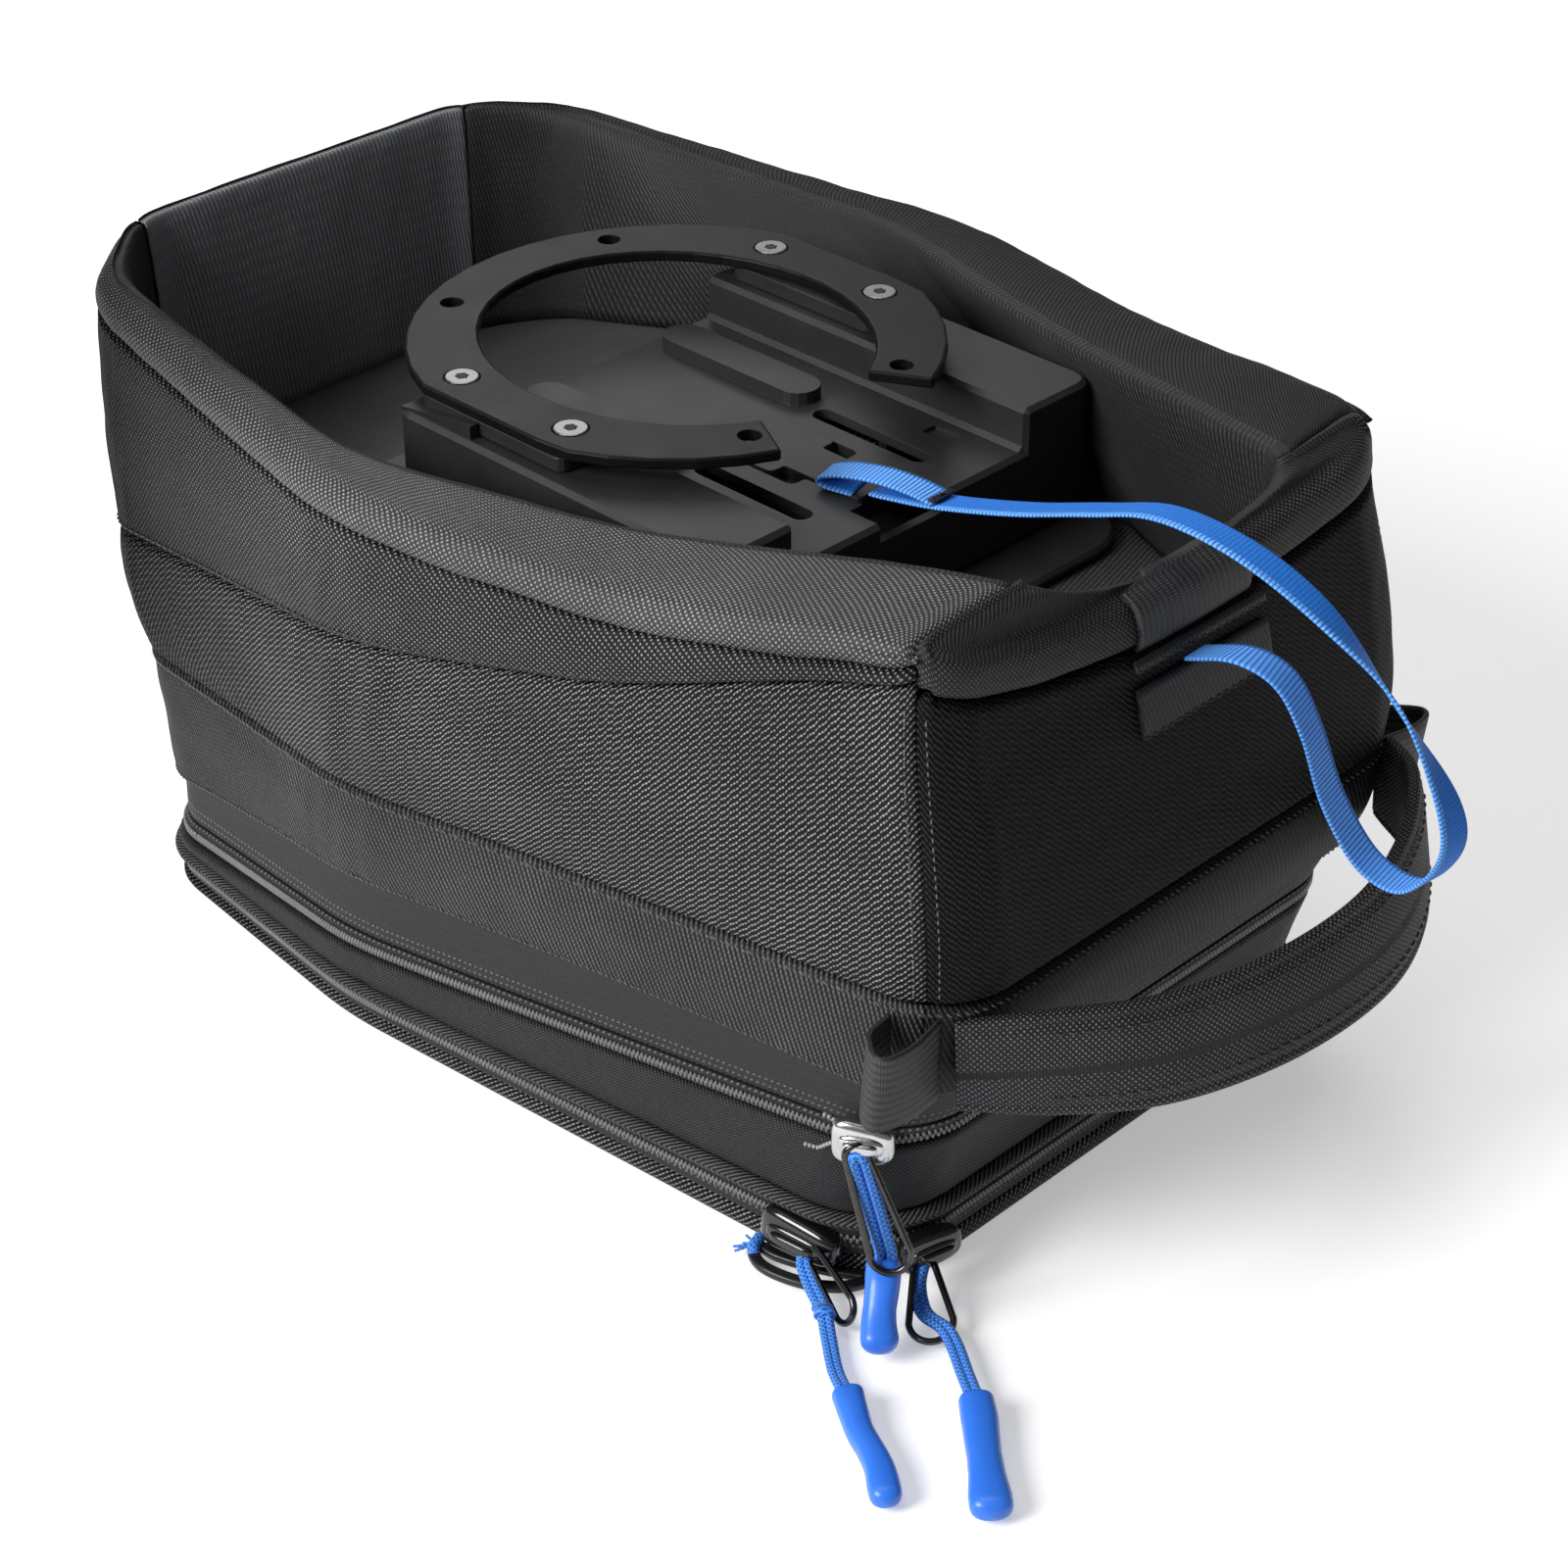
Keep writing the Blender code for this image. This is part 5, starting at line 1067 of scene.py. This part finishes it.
handleShape = dict(route=[(193.5, -73.0, 90.5), (210.0, -46.0, 89.0), (219.5, -10.0, 88.5),
                          (220.5, 28.0, 89.5), (211.0, 58.0, 91.5), (195.0, 80.0, 93.5)],
                   near=(17.3, 89.5), far=(21.7, 94.5), proud=3.05, height=30.0, endHeight=27.0, thick=6.0,
                   lean=0.36, points=150, seamAt=0.80, stitchAt=0.62, bendFrom=182.0, bendTo=200.0,
                   pivotZ=90.5)


def buildHandle():
    # a padded band: two folded edges round a flat core, so its section is a slab with a ridge near its top
    near, far = (wall(*handleShape[end], -handleShape["proud"]) for end in ("near", "far"))
    path = spline([near, *handleShape["route"], far], handleShape["points"])
    middle = np.sin(np.pi * np.linspace(0.0, 1.0, len(path)))
    across = np.stack([-handleShape["lean"] * middle, 0.0 * middle, np.ones_like(middle)], -1)
    height = handleShape["endHeight"] + (handleShape["height"] - handleShape["endHeight"]) * np.minimum(
        1.0, middle * 2.2)
    height = height[:, None]
    along = unit(np.gradient(path, axis=0))
    rise = unit(across - along * (across * along).sum(1, keepdims=True))
    out = np.cross(along, rise)
    flatness, tall = circle(72, 0.35, 0.75)
    run = runOf(path)[:, None]
    fromSeam = np.abs(tall) - handleShape["seamAt"]
    ripple = 0.18 * np.sin(run * math.tau / 3.4) * np.exp(-(fromSeam / 0.10) ** 2)
    wrinkle = 0.5 * softNoise(run, tall * 15.0, 24.0, 81)
    groove = -0.55 * np.exp(-(fromSeam / 0.05) ** 2)
    half = handleShape["thick"] / 2.0
    depth = half * flatness * (1.0 + 0.10 * np.cos(tall * 2.4)) * 0.92 + np.sign(flatness) * (
        ripple + wrinkle * 0.5 + groove)
    ring = path[:, None] + rise[:, None] * (tall * height / 2.0)[..., None] + out[:, None] * depth[..., None]
    band = sweptCloth("carry_handle_band", ring, "handle_nylon", None, "carry_handle")
    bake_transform(band)
    for level, edge in ((handleShape["stitchAt"], "top"), (-handleShape["stitchAt"], "foot")):
        for sign, face in ((1.0, "out"), (-1.0, "in")):
            line = path + rise * (level * height / 2.0) + out * sign * (half * 0.94)
            stitchRow(f"handle_stitches_{edge}_{face}", "handle", line[22:-22], (out * sign)[22:-22], 2.6,
                      1.3, 0.28)


patchShape = dict(edgeHalf=22.0, edgeColumns=(6, 46), edgeProud=(1.9, 0.5), slotHalf=26.0,
                  slotZ=(157.0, 179.6), slit=(171.6, 176.0), slotDepth=-2.6, slotThick=1.2)


def buildPatches():
    rear = evenPlaces(*rearCorners, 1.0, 190.0)
    y = wall(rear, 190.0)[:, 1]

    def spots(half, count):
        return np.interp(np.linspace(-half, half, count), y, rear)

    # ribbed webbing over the rim: follows the rear roll's own section, a little proud of it
    curve = rollSection(spots(patchShape["edgeHalf"], 34), "rear")[0]
    keep = slice(*patchShape["edgeColumns"])
    outer, inner = ((curve + surfaceNormals(curve) * proud)[:, keep] for proud in patchShape["edgeProud"])
    sweptCloth("edge_patch_webbing", np.concatenate([outer, inner[:, ::-1]], 1), "patch_webbing", "bag",
               "edge_patch")
    # smooth patch in two parts, with the ribbon's slot between them
    places = spots(patchShape["slotHalf"], 60)
    low, high = patchShape["slotZ"]
    slitLow, slitHigh = patchShape["slit"]
    for row, (part, foot, top) in enumerate((("foot", low, slitLow), ("top", slitHigh, high))):
        sections = bandSections(places, foot, top, patchShape["slotDepth"], patchShape["slotThick"], 0.4, 0.8,
                                rowStep=1.0)
        stood = ["slot_patch"] if row == 0 else []
        sweptCloth("slot_patch_" + part, sections, "padded_lining", "bag", *stood)
        stitchRow(f"slot_patch_stitches_{row}", "bag", wall(places, foot + 1.0, -2.95),
                  outOfWall(places, foot + 1.0), 2.2, 1.0, 0.25)


buildLoops()
buildHandle()
buildPatches()
print("loops, handle and patches made")


# zip sliders and their pulls: a wire loop, a doubled cord and a moulded end on each

pulls = dict(
    expansion=dict(
        slider=((152.6, -97.0, 55.6), (0.885, 0.465, 0.04), (0.465, -0.885, 0.14), (17.0, 14.0, 6.0),
                "nickel_slider"),
        wire=((153.2, -101.6, 57.0), (168.7, -101.0, 23.2), (0.75, 0.66, 0.1), 10.8, 6.0),
        radius=1.5, apart=np.array([0.74, 0.66, 0.10]) * 1.55, lay="hanging", bend=(-0.8, -0.4, 1.5),
        cord=[(155.2, -101.2, 53.0), (158.0, -100.2, 43.0), (161.0, -99.2, 32.0), (162.8, -98.7, 25.0),
              (162.8, -98.9, 21.5)],
        grip=[(162.0, -98.8, 22.5), (164.4, -101.4, 17.2), (168.6, -107.2, 10.4), (174.4, -112.6, 5.6)],
        widths=[8.8, 9.6, 9.2, 8.8, 9.4, 10.2, 10.0], thick=8.4),
    left=dict(
        slider=((131.5, -98.3, 11.6), (0.985, 0.15, -0.02), (0.15, -0.98, 0.10), (25.0, 14.0, 7.4),
                "black_slider"),
        wire=((135.6, -100.4, 11.8), (159.6, -108.4, 5.8), (0.45, 0.25, 0.85), 8.4, 5.0),
        radius=1.3,
        apart=0.85 * np.array([(0.52, 0.87, rise) for rise in (0.4, 0.4, 0.4, 0.3, 0.1, 0.0, 0.0)]),
        lay="loose", knot=((151.5, -110.3, 4.4), (0.86, -0.5, -0.05), 1.7),
        cord=[(136.3, -100.8, 11.5), (136.9, -103.0, 8.6), (142.4, -105.9, 6.0), (151.3, -110.2, 4.4),
              (158.1, -115.3, 2.9), (168.4, -123.4, 3.0), (178.2, -129.2, 4.6)],
        grip=[(177.0, -128.2, 4.9), (183.4, -132.5, 4.6), (189.3, -136.2, 4.2), (195.4, -138.9, 4.1),
              (201.6, -142.1, 4.1), (206.9, -146.1, 4.1), (212.0, -150.0, 4.2)],
        widths=[8.6, 8.0, 7.4, 7.2, 7.8, 8.6, 8.2], thick=6.6),
    rear=dict(
        slider=((159.5, -77.6, 12.0), (0.25, 0.97, 0.02), (0.97, -0.25, 0.10), (19.0, 12.4, 6.4),
                "black_slider"),
        wire=((159.6, -80.4, 11.5), (178.6, -96.6, 2.4), (0.66, 0.72, 0.15), 12.0, 5.0),
        radius=1.3, apart=0.85 * np.array([0.9, 0.9, 0.2]), lay="loose",
        cord=[(160.4, -81.5, 9.6), (164.0, -87.0, 7.2), (169.2, -91.2, 5.4), (173.0, -92.4, 4.6),
              (178.8, -92.6, 4.6), (185.3, -95.6, 4.4), (194.0, -101.4, 4.4), (203.4, -107.5, 4.8)],
        grip=[(202.4, -106.6, 4.9), (209.0, -112.3, 4.6), (215.5, -118.4, 4.4), (226.7, -128.7, 4.4),
              (233.6, -135.0, 4.4)],
        widths=[9.2, 9.8, 9.4, 9.0, 9.6, 11.2, 11.0], thick=7.4))
wireRadius = 1.0


def puffBody(name, body, centre, along, out, size, finishName, taper, square, *stood):
    # rounded block: a superellipsoid that narrows towards one end
    v = np.linspace(-math.pi / 2, math.pi / 2, 25)[:, None]
    c, s = circle(48, square, square)
    belt = raised(np.cos(v), square)
    x, y, z = belt * c, belt * s, raised(np.sin(v), square) + 0.0 * c
    narrow = 1.0 - taper * (0.5 + 0.5 * x)
    points = (centre + along * (x * size[0] / 2)[..., None]
              + np.cross(out, along) * (y * narrow * size[1] / 2)[..., None]
              + out * (z * size[2] / 2)[..., None])
    addPiece(name, points, tubeFaces(*points.shape[:2]), finishName, body, *stood)


def slider(which, centre, along, out, size, finishName):
    # a plate, and the bridge that holds the pull: a lower saddle and a narrow raised loop on it
    body = which + "_slider"
    along, out, size = unit(np.array(along)), unit(np.array(out)), np.array(size)
    saddle = centre + out * size[2] * 0.42
    puffBody(body + "_body_plate", body, np.array(centre), along, out, size, finishName, 0.25, 0.55, body)
    puffBody(body + "_body_saddle", body, saddle, along, out, size * (0.74, 0.46, 0.5), finishName, 0.1, 0.7)
    puffBody(body + "_body_bridge", body, saddle + out * size[2] * 0.2, along, out, size * (0.56, 0.24, 0.55),
             finishName, 0.0, 0.6)


def wireLoop(which, top, bottom, sideways, width, topWidth):
    # closed wire: two straight legs, a half circle at the foot and a smaller one at the slider
    top, bottom = np.array(top), np.array(bottom)
    axis = unit(bottom - top)
    side = unit(sideways - axis * np.dot(sideways, axis))
    turn = np.linspace(0.0, math.pi, 22)[:, None]
    footArc = bottom - axis * width / 2 + (side * np.cos(turn) + axis * np.sin(turn)) * width / 2
    headArc = top + axis * topWidth / 2 - (side * np.cos(turn) + axis * np.sin(turn)) * topWidth / 2
    leg = np.linspace(0.0, 1.0, 14)[1:-1, None]
    path = np.concatenate([headArc, headArc[-1] + (footArc[0] - headArc[-1]) * leg, footArc,
                           footArc[-1] + (headArc[0] - footArc[-1]) * leg])
    along = unit(np.roll(path, -1, 0) - np.roll(path, 1, 0))
    flat = np.broadcast_to(np.cross(axis, side), path.shape)
    ring = around(path, flat * wireRadius, np.cross(along, flat) * wireRadius, *circle(12))
    sweptCloth(which + "_pull_wire", ring, "gunmetal_wire", which + "_pull", which + "_wire", closedRun=True)


def cordStrand(name, body, route, radius, *stood):
    return tubeAlong(name, evenPath(route, 0.7), radius, 14, "blue_braid", body, *stood)


def knot(name, body, radius, centre, axis, reach):
    # a small wrapped knot: 1.6 turns of cord round the strands
    axis = unit(np.array(axis))
    side = unit(np.cross(axis, (0.0, 0.0, 1.0)))
    t = np.linspace(0.0, 1.0, 46)[:, None]
    turn = t * math.tau * 1.6
    path = (np.array(centre) + side * (reach * np.cos(turn))
            + np.cross(side, axis) * (reach * np.sin(turn)) * 0.8
            + axis * ((t - 0.5) * radius * 2.6))
    return tubeAlong(name, path, radius, 12, "blue_braid", body)


def moulding(which, route, widths, thick):
    # rubber end: a rounded flat section on a path, its width set along the way and closed to a dome
    path = evenPath(route, 0.6)
    share = np.linspace(0.0, 1.0, len(path))
    width = np.interp(share, np.linspace(0.0, 1.0, len(widths)), widths)
    run = runOf(path)[-1]
    cap = np.sqrt(np.clip(1.0 - (1.0 - np.clip((1.0 - share) * run / 4.0, 0.0, 1.0)) ** 2, 0.0, 1.0))
    cap = np.maximum(cap * np.interp(share * run, [0.0, 0.9], [0.80, 1.0]), 0.04)[:, None]
    along = unit(np.gradient(path, axis=0))
    side = unit(np.cross(along, (0.0, 0.0, 1.0)))
    ring = around(path, side * cap * width[:, None] / 2, np.cross(side, along) * cap * thick / 2,
                  *circle(28, 0.8, 0.8))
    return sweptCloth(which + "_pull_grip", ring, "blue_rubber", which + "_pull", which + "_grip")


def buildPull(which, shape):
    # two strands run side by side from the slider to the moulded end. The strand's route gives its length.
    body = which + "_pull"
    radius = shape["radius"]
    slider(which, *shape["slider"])
    wireLoop(which, *shape["wire"])
    first, second = (np.array(shape["cord"]) + sign * shape["apart"] for sign in (1.0, -1.0))
    strand = cordStrand(body + "_cord_a", body, first, radius, which + "_cord")
    others = [cordStrand(body + "_cord_b", body, second, radius),
              moulding(which, shape["grip"], shape["widths"], shape["thick"])]
    if "bend" in shape:
        quarters = [first[0] * share + second[0] * (1.0 - share) + shape["bend"] for share in (0.75, 0.25)]
        others.append(cordStrand(body + "_cord_top", body, [first[0], *quarters, second[0]], radius))
    if "knot" in shape:
        others.append(knot(body + "_knot", body, radius, *shape["knot"]))
    path = evenPath(first, 0.7) * mm
    radius * 2.0 * mm


def buildOpenCoils():
    # the two coils part beside the slider: two short rows of pale beads that fan out over the wall
    for label, rise in (("upper", 8.5), ("lower", -6.0)):
        share = np.linspace(0.0, 1.0, 30)
        places = np.interp(share, [0.0, 1.0], [15.42, 14.965])
        height = seamHeight("expansion", places) + rise * share ** 1.4
        stitchRow(f"expansion_coil_{label}_end", "expansion_slider", wall(places, height, -1.9),
                  outOfWall(places, height), 0.95, 0.5, 0.62, "coil_bead")


def buildPocketPull():
    # flat oval ring with a long hole, on a frayed cord stub
    route = spline([(118.6, -103.2, 3.0), (126.2, -104.4, 3.0), (136.0, -101.6, 3.0), (144.0, -97.0, 3.0),
                    (149.6, -91.4, 3.0)], 60)
    up = np.array([0.0, 0.0, 1.0])
    side = np.cross(unit(np.gradient(route, axis=0)), up)
    spread = 3.6 * np.sin(np.pi * np.linspace(0.0, 1.0, 60)[:, None]).clip(0.0) ** 0.45
    loop = np.concatenate([route + side * spread, (route - side * spread)[-2:0:-1]])
    outward = np.cross(unit(np.roll(loop, -1, 0) - np.roll(loop, 1, 0)), up)
    ring = around(loop, outward * 1.7, np.broadcast_to(up * 1.3, loop.shape), *circle(20, 0.6, 0.6))
    sweptCloth("pocket_puller_ring", ring, "black_puller", "lid", "pocket_pull", closedRun=True)
    stub = [(117.5, -99.9, 4.2), (118.6, -102.4, 4.6), (119.4, -104.6, 4.4), (121.2, -106.2, 3.6)]
    cordStrand("pocket_puller_cord", "lid", stub, 1.7, "pocket_cord")
    draws = np.random.default_rng(5)
    for strand in range(9):
        lean = draws.uniform(-1.0, 1.0, 3) * (1.3, 1.3, 1.0)
        tip = np.array([116.6, -103.8, 3.6]) + lean * 1.8 + (-1.2, -1.6, 0.0)
        route = [(119.0, -103.6, 4.4), (118.0, -104.0, 4.2) + lean * 0.5, tip]
        cordStrand(f"pocket_cord_fray_{strand}", "lid", route, 0.38)


for which, shape in pulls.items():
    buildPull(which, shape)
buildOpenCoils()
buildPocketPull()
print("sliders and pulls made")


# quick lock: the CAD's own rigid meshes with rounded edges and their finishes

lockFinishes = dict(
    moulded_plastic=(0.5, 2, ["lock_housing", "base_plate", "latch_slide", "backing_plate",
                              "guide_block_near", "guide_block_far"]),
    satin_black_ring=(0.45, 3, ["tank_ring"]),
    zinc_steel=(0.12, 2, [f"ring_screw_{place}" for place in range(1, 5)]))


def finishNode(node, finishName, rounding=0.0, segments=2):
    piece = nodes[node]
    finish, slot = finishes[finishName]
    piece.data.materials.clear()
    piece.data.materials.append(finish)
    weld = piece.modifiers.new("joined", "WELD")
    weld.merge_threshold = 1e-5
    if rounding:
        bevel = piece.modifiers.new("rounded", "BEVEL")
        bevel.width = rounding * mm
        bevel.segments = segments
        bevel.limit_method = "ANGLE"
        bevel.angle_limit = math.radians(32.0)
        bevel.use_clamp_overlap = True
        bevel.harden_normals = False


for finishName, (rounding, segments, names) in lockFinishes.items():
    for node in names:
        finishNode(node, finishName, rounding, segments)
for place in range(1, 5):
    finishNode(f"base_screw_{place}", "zinc_steel")
for node in ("latch_spring_near", "latch_spring_far"):
    finishNode(node, "zinc_steel")
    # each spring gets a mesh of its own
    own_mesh(nodes[node])


def buildSocketShade():
    # painted shade in the star sockets of the four ring screws: a dark six-lobed cup in each head, of radius
    # 1.75 + 0.28 cos 6a
    sides = 36
    angle = np.linspace(0.0, math.tau, sides, endpoint=False)
    lobes = 1.75 + 0.28 * np.cos(angle * 6.0)
    points, faces = [], []
    for place in range(1, 5):
        head = np.array(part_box(f"ring_screw_{place}")) / mm
        x, y = head.mean(0)[:2]
        start = len(points) * sides
        for size, lift in ((1.0, 0.03), (0.8, 0.06), (0.55, 0.04), (1.0, -0.1)):
            points.append(np.stack([x + lobes * size * np.cos(angle), y + lobes * size * np.sin(angle),
                                    np.full(sides, head[1, 2] + lift)], -1))
        outer, cup, foot = ([start + row * sides + k for k in range(sides)] for row in (0, 2, 3))
        faces += gridFaces(3, sides, False, True, start) + [cup, foot]
        faces += [[a, b, c, d] for a, b, c, d in zip(outer, outer[1:] + outer[:1], foot[1:] + foot[:1], foot)]
    addPiece("ring_screw_sockets", np.stack(points), faces, "screw_socket", "tank_ring")


buildSocketShade()
print("lock finished")


# floor, backdrop and light

studio = dict(floorSize=6.0, floorZ=-0.0004, paint=0.90, glow=(0.39, 1.0), glowRange=(0.5, 1.7), world=0.17,
              aim=(0.0, 0.0, 0.1),
              lamps=[("key_light", (-0.36, -1.85, 1.3), 1.15, 54.0),
                     ("top_light", (-0.5, 0.1, 2.2), 1.6, 11.0), ("rim_light", (-1.4, 0.9, 1.4), 1.2, 8.0)])


def makeFloor():
    # the floor's own light grows with distance in metres, up to white, so no horizon shows
    size, z = studio["floorSize"], studio["floorZ"]
    mesh = bpy.data.meshes.new("studio_floor")
    corners = [(-size, -size, z), (size, -size, z), (size, size, z), (-size, size, z)]
    mesh.from_pydata(corners, [], [[0, 1, 2, 3]])
    floor = bpy.data.objects.new("studio_floor", mesh)
    bpy.context.scene.collection.objects.link(floor)
    paint, tree, shader = newFinish("studio_paint", grey(studio["paint"]), 0.9)
    rays = newNode(tree, "ShaderNodeLightPath").outputs
    seen = Shade(rays["Is Camera Ray"]).step("MAXIMUM", Shade(rays["Is Glossy Ray"]).step(
        "MAXIMUM", Shade(rays["Is Transmission Ray"])))
    reach = newNode(tree, "ShaderNodeVectorMath")
    reach.operation = "LENGTH"
    feed(reach.inputs[0], Shade(newNode(tree, "ShaderNodeTexCoord").outputs["Object"]))
    spread = newNode(tree, "ShaderNodeMapRange", Value=Shade(reach.outputs["Value"]))
    spread.interpolation_type = "SMOOTHSTEP"
    ends = zip(("From Min", "From Max", "To Min", "To Max"), studio["glowRange"] + studio["glow"])
    for socket, value in ends:
        feed(spread.inputs[socket], value)
    glow = newNode(tree, "ShaderNodeEmission", Strength=seen * Shade(spread.outputs["Result"]))
    both = newNode(tree, "ShaderNodeAddShader")
    feed(both.inputs[0], Shade(tree.nodes["Principled BSDF"].outputs[0]))
    feed(both.inputs[1], Shade(glow.outputs[0]))
    feed(tree.nodes["Material Output"].inputs[0], Shade(both.outputs[0]))
    mesh.materials.append(paint)


def makeLight():
    # the camera sees a white world, and the object gets a share of its light
    world = bpy.data.worlds.new("studio")
    bpy.context.scene.world = world
    world.use_nodes = True
    seen = Shade(newNode(world.node_tree, "ShaderNodeLightPath").outputs["Is Camera Ray"])
    sky = world.node_tree.nodes["Background"].inputs
    feed(sky[0], (1.0, 1.0, 1.0, 1.0))
    feed(sky[1], seen * (1.0 - studio["world"]) + studio["world"])
    for name, place, width, power in studio["lamps"]:
        data = bpy.data.lights.new(name, "AREA")
        data.shape = "DISK"
        data.size = width
        data.energy = power
        standAt(data, place, studio["aim"])


makeFloor()
makeLight()
bpy.context.scene.view_settings.view_transform = "Standard"
